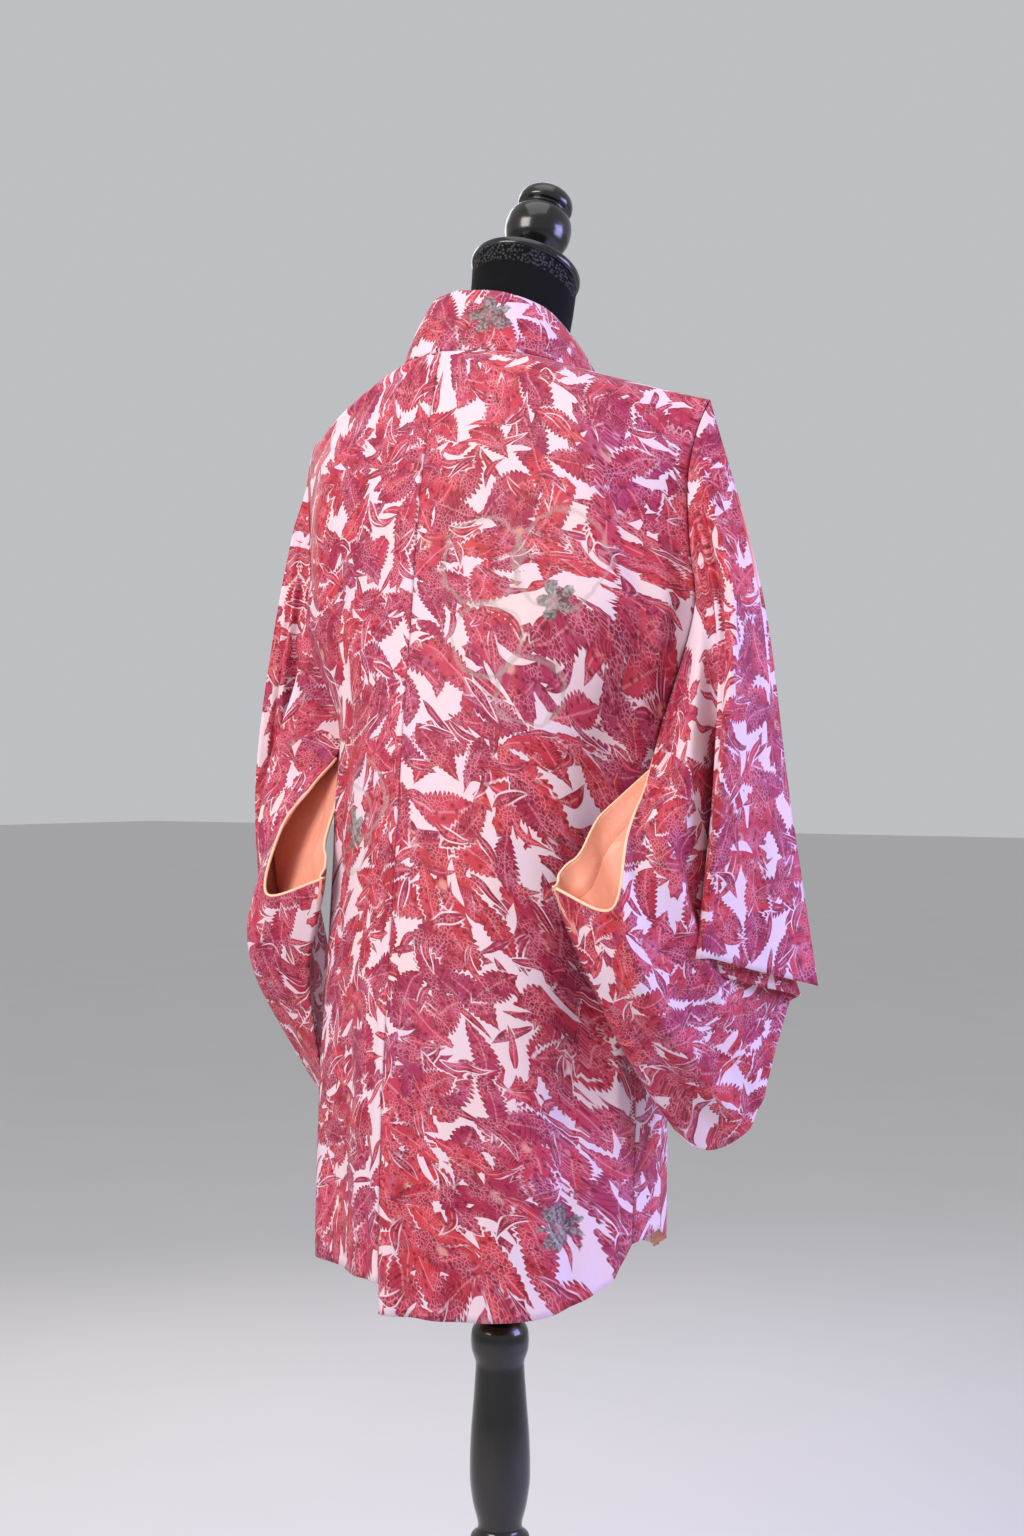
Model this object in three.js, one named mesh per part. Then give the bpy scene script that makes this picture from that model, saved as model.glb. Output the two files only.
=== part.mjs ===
// Haori on a dress form: open-fronted coat of lined silk, hanging from a limbless form on a turned stand.
// Millimetres. +Z is up from the floor, the wearer faces -Y, +X is the wearer's left.
import * as THREE from "three";

// ---- driving dimensions ----
const CLOTH = 1.2; // wall of one layer of lined silk
const COLLAR_WALL = 2.4; // the collar is folded double
const SEAM = 0.35; // space left at each seam
const SLEEVE_SEAM = 1.2; // the same at the sleeve seam, where the two walls meet at an angle
const HEM_Z = 634; // height of the hem above the floor
const COLLAR_WIDTH = 61; // seam to folded edge
const SLEEVE_GAP = 4; // outer face to outer face where the sleeve hangs flat
const LINING_ROWS = 3; // sleeve rows that the lining strip reaches in from the open side
const NECK_CAP = { y: -38.5, z: 1524, tilt: 25 }; // centre of the neck's top plane and its forward lean
const ROUND = 28; // segments round a turned piece

// ---- materials ----
const silk = new THREE.MeshStandardMaterial({ color: 0xc4505a, roughness: 0.6, side: THREE.DoubleSide });
const peach = new THREE.MeshStandardMaterial({ color: 0xe9a47c, roughness: 0.55 });
const velvet = new THREE.MeshStandardMaterial({ color: 0x0c0b0d, roughness: 0.9 });
const turnedWood = new THREE.MeshStandardMaterial({ color: 0x15120f, roughness: 0.3 });

const part = new THREE.Group();
part.name = "haori_on_form";

// ---- small helpers ----
const v3 = (x, y, z) => new THREE.Vector3(x, y, z);
const through = (points, closed = false) =>
  new THREE.CatmullRomCurve3(points, closed, "centripetal");
const lerp = THREE.MathUtils.lerp;
const step = (x, a, b) => THREE.MathUtils.smoothstep(x, a, b);
const bell = (x, at, width) => Math.exp(-(((x - at) / width) ** 2));

// One smooth column of a table, read at a fractional row number; missing cells count as the fallback.
function column(rows, key, at, fallback = 0) {
  const i = Math.min(Math.max(Math.floor(at), 0), rows.length - 2);
  const f = at - i;
  const v = (k) => rows[Math.min(Math.max(k, 0), rows.length - 1)][key] ?? fallback;
  const m0 = (v(i + 1) - v(i - 1)) / 2;
  const m1 = (v(i + 2) - v(i)) / 2;
  const f2 = f * f;
  const f3 = f2 * f;
  return (2 * f3 - 3 * f2 + 1) * v(i) + (f3 - 2 * f2 + f) * m0 + (3 * f2 - 2 * f3) * v(i + 1) + (f3 - f2) * m1;
}

// Normals of a grid of points, grid[i][j]; ring = true when the j direction closes on itself.
function gridNormals(grid, ring) {
  const m = grid[0].length;
  return grid.map((row, i) =>
    row.map((_, j) => {
      const up = grid[Math.min(i + 1, grid.length - 1)][j];
      const down = grid[Math.max(i - 1, 0)][j];
      const right = row[ring ? (j + 1) % m : Math.min(j + 1, m - 1)];
      const left = row[ring ? (j + m - 1) % m : Math.max(j - 1, 0)];
      return right.clone().sub(left).cross(up.clone().sub(down)).normalize();
    }),
  );
}

// A wall of even thickness between a grid's points and the same points moved in along its normals.
function wall(name, grid, thickness, material, ring = false, fixEdge = null) {
  const n = grid.length;
  const m = grid[0].length;
  const normals = gridNormals(grid, ring);
  const inner = grid.map((row, i) => row.map((p, j) => p.clone().addScaledVector(normals[i][j], -thickness)));
  if (fixEdge) fixEdge(grid, inner);
  const position = [...grid, ...inner].flat().flatMap((p) => [p.x, p.y, p.z]);
  const at = (layer, i, j) => layer * n * m + i * m + (ring ? j % m : j);
  const index = [];
  const quad = (a, b, c, d) => index.push(a, b, c, a, c, d);
  const cells = ring ? m : m - 1;
  for (let i = 0; i < n - 1; i++)
    for (let j = 0; j < cells; j++) {
      quad(at(0, i, j), at(0, i, j + 1), at(0, i + 1, j + 1), at(0, i + 1, j));
      quad(at(1, i, j), at(1, i + 1, j), at(1, i + 1, j + 1), at(1, i, j + 1));
    }
  for (let j = 0; j < cells; j++) {
    quad(at(0, 0, j), at(1, 0, j), at(1, 0, j + 1), at(0, 0, j + 1));
    quad(at(0, n - 1, j), at(0, n - 1, j + 1), at(1, n - 1, j + 1), at(1, n - 1, j));
  }
  if (!ring)
    for (let i = 0; i < n - 1; i++) {
      quad(at(0, i, 0), at(0, i + 1, 0), at(1, i + 1, 0), at(1, i, 0));
      quad(at(0, i, m - 1), at(1, i, m - 1), at(1, i + 1, m - 1), at(0, i + 1, m - 1));
    }
  const geometry = new THREE.BufferGeometry();
  geometry.setAttribute("position", new THREE.Float32BufferAttribute(position, 3));
  geometry.setIndex(index);
  add(name, geometry, material);
}

// A smooth solid through closed sections with a point cap at each end.
function loft(name, sections, material) {
  const m = sections[0].length;
  const position = sections.flat().flatMap((p) => [p.x, p.y, p.z]);
  const index = [];
  for (let i = 0; i < sections.length - 1; i++)
    for (let j = 0; j < m; j++) {
      const k = (j + 1) % m;
      const [a, b, c, d] = [i * m + j, i * m + k, (i + 1) * m + k, (i + 1) * m + j];
      index.push(a, b, c, a, c, d);
    }
  for (const [i, turn] of [[0, -1], [sections.length - 1, 1]]) {
    const centre = position.length / 3;
    const mid = sections[i].reduce((s, p) => s.add(p), v3(0, 0, 0)).multiplyScalar(1 / m);
    position.push(mid.x, mid.y, mid.z);
    for (let j = 0; j < m; j++) {
      const [a, b] = [i * m + j, i * m + ((j + 1) % m)];
      index.push(...(turn > 0 ? [a, b, centre] : [b, a, centre]));
    }
  }
  const geometry = new THREE.BufferGeometry();
  geometry.setAttribute("position", new THREE.Float32BufferAttribute(position, 3));
  geometry.setIndex(index);
  add(name, geometry, material);
}

// A turned piece: profile rows [height, radius] from bottom to top, both ends on the axis.
function turned(name, profile, material, place = null) {
  const points = profile.map(([h, r]) => new THREE.Vector2(r, h));
  const geometry = new THREE.LatheGeometry(points, ROUND);
  geometry.rotateX(Math.PI / 2);
  if (place) geometry.applyMatrix4(place);
  add(name, geometry, material);
}

function add(name, geometry, material) {
  geometry.computeVertexNormals();
  const mesh = new THREE.Mesh(geometry, material.clone());
  mesh.name = name;
  part.add(mesh);
}

// ---- sleeves ----
// Rails that run from the body side to the cuff, one row per fold line. Columns: seam = on the body side,
// third and twoThirds = on the way down, cuff = at the cuff, front = where the front layer starts on the
// body side. r is sideways from the middle, y backward, z up.
const SLEEVE_RAILS = {
  topFold: { seam: [212, 4, 1386], third: [258, -3, 1225], twoThirds: [273, -24, 1065], cuff: [283, -50, 899] },
  flap: {
    seam: [209, 14, 1368], third: [259, 20, 1221], twoThirds: [269, 19, 1070], cuff: [261, 10, 914],
    front: [209, -5, 1368],
  },
  ridge: {
    seam: [207, 22, 1348], third: [255, 43, 1214], twoThirds: [258, 62, 1072], cuff: [236, 65, 928],
    front: [207, -10, 1348],
  },
  turnIn: {
    seam: [206, 28, 1320], third: [243, 45, 1205], twoThirds: [246, 56, 1064], cuff: [225, 59, 921],
    front: [206, -16, 1320],
  },
  under: {
    seam: [209, 31, 1288], third: [239, 37, 1196], twoThirds: [248, 38, 1056], cuff: [247, 6, 904],
    front: [209, -20, 1288],
  },
  valley: {
    seam: [214, 33, 1255], third: [236, 34, 1186], twoThirds: [251, 24, 1046], cuff: [269, -47, 889],
    front: [214, -24, 1255],
  },
  pouchTop: {
    seam: [220, 35, 1215], third: [232, 38, 1172], twoThirds: [245, 20, 1036], cuff: [262, -51, 884],
    front: [220, -26, 1215],
  },
  armpit: {
    seam: [183, 30, 1109], third: [234, 72, 1095], twoThirds: [241, 40, 985], cuff: [257, -47, 862],
    front: [183, -16, 1110],
  },
  open: {
    seam: [196, 72, 1066], third: [231, 90, 1040], twoThirds: [240, 46, 945], cuff: [253, -43, 843],
    front: [190, 24, 1090],
  },
  openLow: {
    seam: [204, 110, 1028], third: [226, 104, 980], twoThirds: [239, 48, 900], cuff: [247, -36, 812],
    front: [161, 86, 1040],
  },
  corner: {
    seam: [202, 133, 968], third: [213, 120, 908], twoThirds: [226, 58, 838], cuff: [235, -24, 776],
    front: [150, 110, 1004],
  },
  bottomSeam: { seam: [139, 126, 983], third: [160, 107, 914], twoThirds: [182, 76, 842], cuff: [205, 4, 750] },
};
const RAIL_NAMES = Object.keys(SLEEVE_RAILS);
const RAILS = RAIL_NAMES.length;
const LOOP = 2 * RAILS - 2; // control points round one ring

// How the two sleeves hang: cuffDrop = how much lower the cuff is; topIn and lowIn = how much nearer the
// body the upper and the lower rails lie at the seam, a third, two thirds and the cuff.
const SLEEVE_SIDES = {
  right: { side: -1, cuffDrop: 0, topIn: [-5, -4, -2, -6], lowIn: [0, 0, 0, 0] },
  left: { side: 1, cuffDrop: 34, topIn: [0, 33, 28, 22], lowIn: [28, 28, 34, 30] },
};

// Back-layer point of a rail, w = 0 at the body side and 1 at the cuff.
function railPoint(rail, w, { cuffDrop, topIn, lowIn }) {
  const low = step(RAIL_NAMES.indexOf(rail), 1, 7);
  const stations = ["seam", "third", "twoThirds", "cuff"].map((k, i) =>
    v3(...SLEEVE_RAILS[rail][k]).sub(v3(lerp(topIn[i], lowIn[i], low), 0, 0)));
  const p = through(stations).getPoint(w);
  p.z -= cuffDrop * w * w;
  return p;
}

// Control points of one ring: down the back layer to the bottom seam, and up the front layer.
function sleeveRing(w, sideOf) {
  const back = RAIL_NAMES.map((k) => railPoint(k, w, sideOf));
  const next = RAIL_NAMES.map((k) => railPoint(k, Math.min(w + 0.02, 1), sideOf));
  const last = RAIL_NAMES.map((k) => railPoint(k, Math.max(w - 0.02, 0), sideOf));
  const curve = through(back);
  const flat = step(w, 0, 0.62);
  const front = [];
  for (let k = RAILS - 2; k > 0; k--) {
    const along = next[k].clone().sub(last[k]);
    const out = curve.getTangent(k / (RAILS - 1)).cross(along).normalize().negate();
    const low = step(k, 6, 9) * (1 - step(w, 0.45, 1)) * 8; // the pouch hangs a little open
    const start = v3(...SLEEVE_RAILS[RAIL_NAMES[k]].front).sub(v3(...SLEEVE_RAILS[RAIL_NAMES[k]].seam));
    const hang = out.multiplyScalar(-(SLEEVE_GAP + low));
    front.push(back[k].clone().add(start.lerp(hang, flat)));
  }
  return [...back, ...front];
}

const SLEEVE_ROWS = 15;
const SLEEVE_STEPS = 2; // samples to a rail
function sleeveGrid(sideOf, from = 0, to = 1, rows = SLEEVE_ROWS) {
  return Array.from({ length: rows }, (_, i) => {
    const curve = through(sleeveRing(lerp(from, to, i / (rows - 1)), sideOf), true);
    const count = LOOP * SLEEVE_STEPS;
    return Array.from({ length: count }, (_, j) => curve.getPoint(j / count));
  });
}

// Mirror to the wearer's right when side is -1, keeping the outer face outward.
function toSide(grid, side) {
  const moved = grid.map((row) => row.map((p) => v3(side * p.x, p.y, p.z)));
  return side > 0 ? moved : moved.map((row) => row.slice().reverse());
}

for (const [name, sideOf] of Object.entries(SLEEVE_SIDES)) {
  const grid = sleeveGrid(sideOf);
  wall("sleeve_" + name, toSide(grid, sideOf.side), CLOTH, silk, true);

  // Lining strip inside the open side, made from the sleeve's own points moved in.
  const normals = gridNormals(grid, true);
  const first = 7 * SLEEVE_STEPS + 1;
  const final = (LOOP - 7) * SLEEVE_STEPS - 1;
  const strip = grid.slice(0, LINING_ROWS).map((row, i) =>
    row.map((p, j) => p.clone().addScaledVector(normals[i][j], -(CLOTH + 0.5))).slice(first, final + 1));
  wall("sleeve_lining_" + name, toSide(strip, sideOf.side), 1, peach);
}

// ---- body panels: one length of cloth from the back hem over the shoulder to the front hem ----
// One row per level. x, y, z = the inner edge (centre-back seam, neckline, then front edge);
// rail = place on the sleeve's seam (0 at the shoulder fold, + down the back, - down the front), or
// side = point on the side seam and leftIn = how much nearer the middle it is on the left; sweep = how
// far the level turns round the body, degrees; flat = share by which the level runs straight instead;
// rise = power of the share of the width with which the level climbs to the side; lean = direction in
// which the collar leaves the seam.
const BACK_ROWS = [
  { x: 0, y: 175, z: HEM_Z, side: [158, 32, 682], leftIn: 0, sweep: 88, rise: 5 },
  { x: 0, y: 174, z: 720, side: [159, 31, 745], leftIn: 3, sweep: 88, rise: 5 },
  { x: 0, y: 170, z: 810, side: [161, 30, 818], leftIn: 7, sweep: 88, rise: 4 },
  { x: 0, y: 162, z: 905, side: [165, 29, 907], leftIn: 16, sweep: 86 },
  { x: 0, y: 153, z: 1000, side: [169, 28, 1000], leftIn: 23, sweep: 84 },
  { x: 0, y: 146, z: 1070, side: [175, 28, 1066], leftIn: 26, sweep: 78 },
  { x: 0, y: 141, z: 1125, rail: 7, sweep: 72 },
  { x: 0, y: 131, z: 1200, rail: 6, sweep: 62 },
  { x: 0, y: 126, z: 1250, rail: 5, sweep: 58 },
  { x: 0, y: 121, z: 1292, rail: 4, sweep: 54 },
  { x: 0, y: 114, z: 1335, rail: 3, sweep: 50 },
  { x: 0, y: 104, z: 1380, rail: 2.2, sweep: 46 },
  { x: 0, y: 88, z: 1437, rail: 1.5, sweep: 34 },
];
const SHOULDER_ROWS = [
  { x: 0, y: 88, z: 1437, rail: 1.5, sweep: 34, lean: [0, -23, 56] },
  { x: 50, y: 72, z: 1435, rail: 0.9, sweep: 24, lean: [-12, -22, 54] },
  { x: 77, y: 39, z: 1430, rail: 0.45, sweep: 14, lean: [-20, -25, 50] },
  { x: 86, y: 2, z: 1423, rail: 0, sweep: 8, lean: [-28, -28, 39] },
  { x: 87, y: -40, z: 1404, rail: -0.7, sweep: 16, lean: [-34, -32, 33] },
  { x: 84, y: -80, z: 1362, rail: -1.5, sweep: 30, lean: [-45, -28, 24] },
  { x: 82, y: -108, z: 1308, rail: -3, sweep: 44, lean: [-54, -20, 8] },
  { x: 82, y: -126, z: 1248, rail: -5, sweep: 54, lean: [-58, -13, 0] },
  { x: 84, y: -135, z: 1190, rail: -6, sweep: 62, lean: [-58, -12, 0] },
  { x: 86, y: -138, z: 1125, rail: -7, sweep: 70, lean: [-58, -12, 0] },
  { x: 88, y: -133, z: 1068, side: [174, -17, 1066], leftIn: 25, sweep: 66, flat: 0.3, lean: [-58, -12, 0] },
  { x: 90, y: -124, z: 1000, side: [165, -19, 1000], leftIn: 19, sweep: 56, flat: 0.5, lean: [-58, -12, 0] },
  { x: 91, y: -116, z: 905, side: [158, -20, 907], leftIn: 9, sweep: 48, flat: 0.7, lean: [-58, -12, 0] },
  { x: 92, y: -111, z: 810, side: [156, -21, 818], leftIn: 2, sweep: 44, flat: 0.8, lean: [-58, -12, 0] },
  { x: 93, y: -108, z: 720, side: [154, -22, 745], leftIn: 0, sweep: 44, flat: 0.8, rise: 2, lean: [-58, -12, 0] },
  { x: 94, y: -106, z: 650, side: [153, -23, 686], leftIn: 0, sweep: 44, flat: 0.8, rise: 2, lean: [-58, -12, 0] },
];
const HEM_LIFT = { right: -4, left: 21 }; // how much higher each half of the back hem hangs at the middle
const BACK_FLAT = { right: 0, left: 0.35 }; // share by which the back's lower levels run straight

// Largest folds of the panels: across = share of the width from the inner edge, from and to = heights
// between which the fold runs, slant = how far it wanders sideways, width = share of the panel.
const PANEL_FOLDS = {
  right: [
    { across: 0.62, from: 1400, to: 1180, depth: 5, width: 0.12, slant: 0.1 },
    { across: 0.8, from: 1150, to: 800, depth: -5, width: 0.12, slant: -0.08 },
    { across: 0.5, from: 960, to: 560, depth: 4, width: 0.16, slant: 0.05 },
    { across: 0.13, from: 860, to: 560, depth: -4, width: 0.06, slant: 0 },
  ],
  left: [
    { across: 0.58, from: 1390, to: 1150, depth: 4, width: 0.13, slant: 0.12 },
    { across: 0.7, from: 1100, to: 620, depth: 5, width: 0.14, slant: -0.1 },
    { across: 0.3, from: 900, to: 560, depth: -4, width: 0.12, slant: 0.04 },
  ],
};

const edgePoint = (row) => v3(row.x, row.y, row.z);
const ringAtSeam = Object.fromEntries(Object.entries(SLEEVE_SIDES).map(([name, sideOf]) =>
  [name, through(sleeveRing(0, sideOf), true)]));

// Outer point on the sleeve seam or the side seam, at a fractional row of a table.
function sidePoint(rows, at, name) {
  const i = Math.min(Math.floor(at), rows.length - 2);
  const [a, b] = [rows[i], rows[i + 1]];
  if (a.rail !== undefined && b.rail !== undefined) {
    const rail = lerp(a.rail, b.rail, at - i);
    const p = ringAtSeam[name].getPoint((((rail / LOOP) % 1) + 1) % 1);
    return p.add(v3(-SLEEVE_SEAM, 0, 0));
  }
  const leftIn = (row) => v3(name === "left" ? row.leftIn : 0, 0, 0);
  const seam = (row) => (row.side ? v3(...row.side).sub(leftIn(row))
    : ringAtSeam[name].getPoint((((row.rail / LOOP) % 1) + 1) % 1).add(v3(-SLEEVE_SEAM, 0, 0)));
  return seam(a).lerp(seam(b), at - i);
}

function panelPoint(rows, at, across, name) {
  const inner = through(rows.map(edgePoint)).getPoint(at / (rows.length - 1));
  const outer = sidePoint(rows, at, name);
  const sweep = THREE.MathUtils.degToRad(column(rows, "sweep", at));
  const behind = rows === BACK_ROWS;
  const flat = column(rows, "flat", at) + (behind ? BACK_FLAT[name] * (1 - step(inner.z, 1200, 1300)) : 0);
  const s = lerp(Math.sin(sweep * across) / Math.sin(sweep), across, flat);
  const turn = (Math.cos(sweep * across) - Math.cos(sweep)) / (1 - Math.cos(sweep));
  const c = lerp(turn, 1 - across, flat);
  const climb = across ** column(rows, "rise", at, 1);
  const p = v3(lerp(inner.x, outer.x, s), lerp(outer.y, inner.y, c), lerp(inner.z, outer.z, climb));
  if (behind) p.z += HEM_LIFT[name] * (1 - across ** 3) * (1 - step(inner.z, HEM_Z, 800));
  const away = v3(Math.sin(sweep * across), Math.sign(p.y || 1) * Math.cos(sweep * across), 0);
  for (const f of PANEL_FOLDS[name]) {
    const run = step(p.z, f.to - 60, f.to + 60) * (1 - step(p.z, f.from - 60, f.from + 30));
    const place = f.across + f.slant * ((f.from - p.z) / (f.from - f.to));
    const fade = step(across, 0, 0.1) * (1 - step(across, 0.88, 1));
    if (p.y > 0) p.addScaledVector(away, f.depth * run * fade * bell(across, place, f.width));
  }
  return p;
}

const ACROSS = 10;
function panelRows(rows, perRow, name, skipFirst) {
  const count = (rows.length - 1) * perRow;
  return Array.from({ length: count + 1 }, (_, i) => i).slice(skipFirst ? 1 : 0).map((i) =>
    Array.from({ length: ACROSS + 1 }, (_, j) => panelPoint(rows, i / perRow, j / ACROSS, name)));
}

const panelGrids = {};
for (const [name, { side }] of Object.entries(SLEEVE_SIDES)) {
  const grid = [...panelRows(BACK_ROWS, 1, name, false), ...panelRows(SHOULDER_ROWS, 1, name, true)];
  panelGrids[name] = grid;
  const split = BACK_ROWS.length;
  wall("body_" + name, toSide(grid.map((row) => row.slice().reverse()), side), CLOTH, silk, false,
    (outer, inner) => {
      const j = side > 0 ? ACROSS : 0;
      for (let i = 0; i < split; i++)
        for (const p of [outer[i][j], inner[i][j]]) p.x = side * Math.max(side * p.x, SEAM / 2);
    });
}

// ---- gussets between back and front at each side, from the armpit to the hem ----
for (const [name, { side }] of Object.entries(SLEEVE_SIDES)) {
  const back = panelGrids[name].slice(0, 7).map((row) => row[ACROSS]);
  const front = panelGrids[name].slice(-7).map((row) => row[ACROSS]).reverse();
  const grid = back.map((p, i) => {
    const q = front[i];
    return Array.from({ length: 5 }, (_, j) => {
      const t = j / 4;
      const a = v3(p.x, p.y - 2 * SEAM, p.z);
      const b = v3(q.x, q.y + 2 * SEAM, q.z);
      return a.lerp(b, t).add(v3(2.5 * Math.sin(Math.PI * t), 0, i === 6 ? -1.5 : 0));
    });
  });
  wall("gusset_" + name, toSide(grid.map((row) => row.slice().reverse()), side), CLOTH, silk);
}

// ---- collar: round the neck and down both fronts ----
// The seam follows the inner edge of the shoulder and front levels.
{
  const half = SHOULDER_ROWS.map((row) => {
    const lean = v3(...row.lean).normalize();
    const laid = (COLLAR_WALL + SEAM) * step(-row.y, 70, 105); // down the fronts it lies on the panel's edge
    return Array.from({ length: 5 }, (_, j) => {
      const bow = laid + 2.5 * Math.sin((Math.PI * j) / 4);
      const p = v3(row.x, row.y, row.z).addScaledVector(lean, lerp(SEAM, COLLAR_WIDTH, j / 4));
      const away = row.y > -60 ? v3(row.x, row.y, 20).normalize() : v3(0, -1, 0);
      return p.addScaledVector(away, bow);
    });
  });
  const mirrored = half.slice(1).map((row) => row.map((p) => v3(-p.x, p.y, p.z))).reverse();
  wall("collar", [...mirrored, ...half].map((row) => row.slice()), COLLAR_WALL, silk);
}

// ---- dress form: limbless torso with a neck ----
// One row per level: half width, back and front reach, and how far the level's plane tips forward.
const FORM_ROWS = [
  { z: 762, wide: 138, back: 96, front: -92, tip: 0 },
  { z: 775, wide: 146, back: 102, front: -98, tip: 0 },
  { z: 820, wide: 150, back: 112, front: -102, tip: 0 },
  { z: 880, wide: 148, back: 116, front: -102, tip: 0 },
  { z: 960, wide: 132, back: 100, front: -92, tip: 0 },
  { z: 1050, wide: 117, back: 84, front: -86, tip: 0 },
  { z: 1130, wide: 130, back: 96, front: -100, tip: 0 },
  { z: 1210, wide: 146, back: 108, front: -113, tip: 0 },
  { z: 1280, wide: 158, back: 106, front: -102, tip: 0 },
  { z: 1330, wide: 174, back: 88, front: -78, tip: 0 },
  { z: 1360, wide: 186, back: 70, front: -56, tip: 0 },
  { z: 1378, wide: 186, back: 58, front: -46, tip: 0 },
  { z: 1390, wide: 164, back: 52, front: -42, tip: 0 },
  { z: 1402, wide: 124, back: 46, front: -42, tip: 0 },
  { z: 1412, wide: 92, back: 42, front: -46, tip: 1 },
  { z: 1424, wide: 68, back: 36, front: -54, tip: 3 },
  { z: 1442, wide: 55, back: 30, front: -66, tip: 8 },
  { z: 1470, wide: 48, back: 20, front: -72, tip: 14 },
  { z: 1500, wide: 47, back: 11, front: -80, tip: 20 },
  { z: NECK_CAP.z - 0.4, wide: 47, back: 8.5, front: -85.5, tip: NECK_CAP.tilt },
];
loft("form_torso", FORM_ROWS.map((row) => {
  const mid = (row.back + row.front) / 2;
  const deep = (row.back - row.front) / 2;
  const slope = Math.tan(THREE.MathUtils.degToRad(row.tip));
  return Array.from({ length: 36 }, (_, j) => {
    const a = (2 * Math.PI * j) / 36;
    const y = deep * Math.sin(a);
    return v3(row.wide * Math.cos(a), mid + y, row.z + y * slope);
  });
}), velvet);

// ---- cap and finial on the neck, both turned about the neck's leaning axis ----
const onNeck = new THREE.Matrix4()
  .makeTranslation(0, NECK_CAP.y, NECK_CAP.z)
  .multiply(new THREE.Matrix4().makeRotationX(THREE.MathUtils.degToRad(NECK_CAP.tilt)));
turned("neck_cap", [[0, 0], [0, 48.5], [2, 50.5], [7, 50.5], [10, 47], [14, 34], [18, 20], [20, 0]],
  turnedWood, onNeck);
turned("finial", [
  [20.3, 0], [20.3, 13], [25, 15], [29, 20], [36, 26.5], [45, 30], [54, 30.5], [62, 29], [68, 25.5],
  [71.5, 21], [73.5, 21], [75.5, 25], [81, 25.6], [87, 23.6], [92.5, 18], [96, 10], [97, 0],
], turnedWood, onNeck);

// ---- stand: turned post with a ball, rod into the form, and a round foot ----
const POST = [
  [45.3, 0], [45.3, 40], [58, 38], [72, 25], [92, 20], [160, 19], [250, 24], [330, 21], [376, 18],
  [384, 20], [388, 26.5], [398, 26.5], [403, 20], [409, 19.5], [425, 24], [445, 27], [468, 27],
  [490, 26], [520, 23.5], [550, 21.5], [553, 22],
  [556, 23], [563, 25.4], [572, 26], [581, 25.2], [588, 21], [592, 15], [596, 12.5], [761.6, 12.5], [761.6, 0],
];
turned("post", POST, turnedWood);
turned("foot", [
  [0, 0], [0, 190], [12, 190], [20, 184], [25, 168], [30, 120], [36, 72], [42, 52], [45, 44], [45, 0],
], turnedWood);

export default part;
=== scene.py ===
"""Haori on a dress form: printed silk, peach lining, velvet form and black turned stand."""

import math

import bmesh
import bpy
import numpy as np
from bpy.props import FloatProperty, FloatVectorProperty, IntProperty, PointerProperty
from bpy.types import Operator, Panel, PropertyGroup
from mathutils import Matrix, Vector


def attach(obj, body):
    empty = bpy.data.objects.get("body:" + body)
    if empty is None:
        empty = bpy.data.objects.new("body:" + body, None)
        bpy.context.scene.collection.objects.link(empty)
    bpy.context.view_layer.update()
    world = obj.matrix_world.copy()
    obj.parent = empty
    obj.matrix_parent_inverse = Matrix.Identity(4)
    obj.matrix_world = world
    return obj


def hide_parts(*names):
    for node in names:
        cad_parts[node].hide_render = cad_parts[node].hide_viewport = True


bl_info = {
    "name": "Haori on Dress Form",
    "version": (1, 0, 0),
    "blender": (4, 5, 0),
    "location": "View3D > Sidebar > Haori",
    "description": "Builds a printed silk haori hanging from a turned dress form",
    "category": "Add Mesh",
}

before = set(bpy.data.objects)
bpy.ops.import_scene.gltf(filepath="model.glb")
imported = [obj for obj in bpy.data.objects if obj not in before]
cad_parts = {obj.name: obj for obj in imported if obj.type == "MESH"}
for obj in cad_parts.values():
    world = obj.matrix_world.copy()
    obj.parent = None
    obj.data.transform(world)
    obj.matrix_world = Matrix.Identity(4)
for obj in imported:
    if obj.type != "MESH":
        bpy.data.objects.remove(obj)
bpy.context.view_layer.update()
MM = 0.001
HEM = 634.0  # height of the hem, mm

# ---------------------------------------------------------------- fold lines and levels, mm

# Sleeve rails, one row per fold line: points on the body side, at a third, at two thirds and at the
# cuff, then where the front layer starts on the body side. Columns are sideways, back and up.
SLEEVE_RAILS = {
    "top_fold": ((212, 4, 1386), (258, -3, 1225), (273, -24, 1065), (283, -50, 899), (212, 4, 1386)),
    "flap": ((209, 14, 1368), (259, 20, 1221), (269, 19, 1070), (261, 10, 914), (209, -5, 1368)),
    "ridge": ((207, 22, 1348), (255, 43, 1214), (258, 62, 1072), (236, 65, 928), (207, -10, 1348)),
    "turn_in": ((206, 28, 1320), (243, 45, 1205), (246, 56, 1064), (225, 59, 921), (206, -16, 1320)),
    "under": ((209, 31, 1288), (239, 37, 1196), (248, 38, 1056), (247, 6, 904), (209, -20, 1288)),
    "valley": ((214, 33, 1255), (236, 34, 1186), (251, 24, 1046), (269, -47, 889), (214, -24, 1255)),
    "pouch": ((220, 35, 1215), (232, 38, 1172), (245, 20, 1036), (262, -51, 884), (220, -26, 1215)),
    "armpit": ((183, 30, 1109), (234, 72, 1095), (241, 40, 985), (257, -47, 862), (183, -16, 1110)),
    "open": ((196, 72, 1066), (231, 90, 1040), (240, 46, 945), (253, -43, 843), (190, 24, 1090)),
    "open_low": ((204, 110, 1028), (226, 104, 980), (239, 48, 900), (247, -36, 812), (161, 86, 1040)),
    "corner": ((202, 133, 968), (213, 120, 908), (226, 58, 838), (235, -24, 776), (150, 110, 1004)),
    "bottom": ((139, 126, 983), (160, 107, 914), (182, 76, 842), (205, 4, 750), (139, 126, 983)),
}
RAILS = np.array(list(SLEEVE_RAILS.values()), float) * MM
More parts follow.
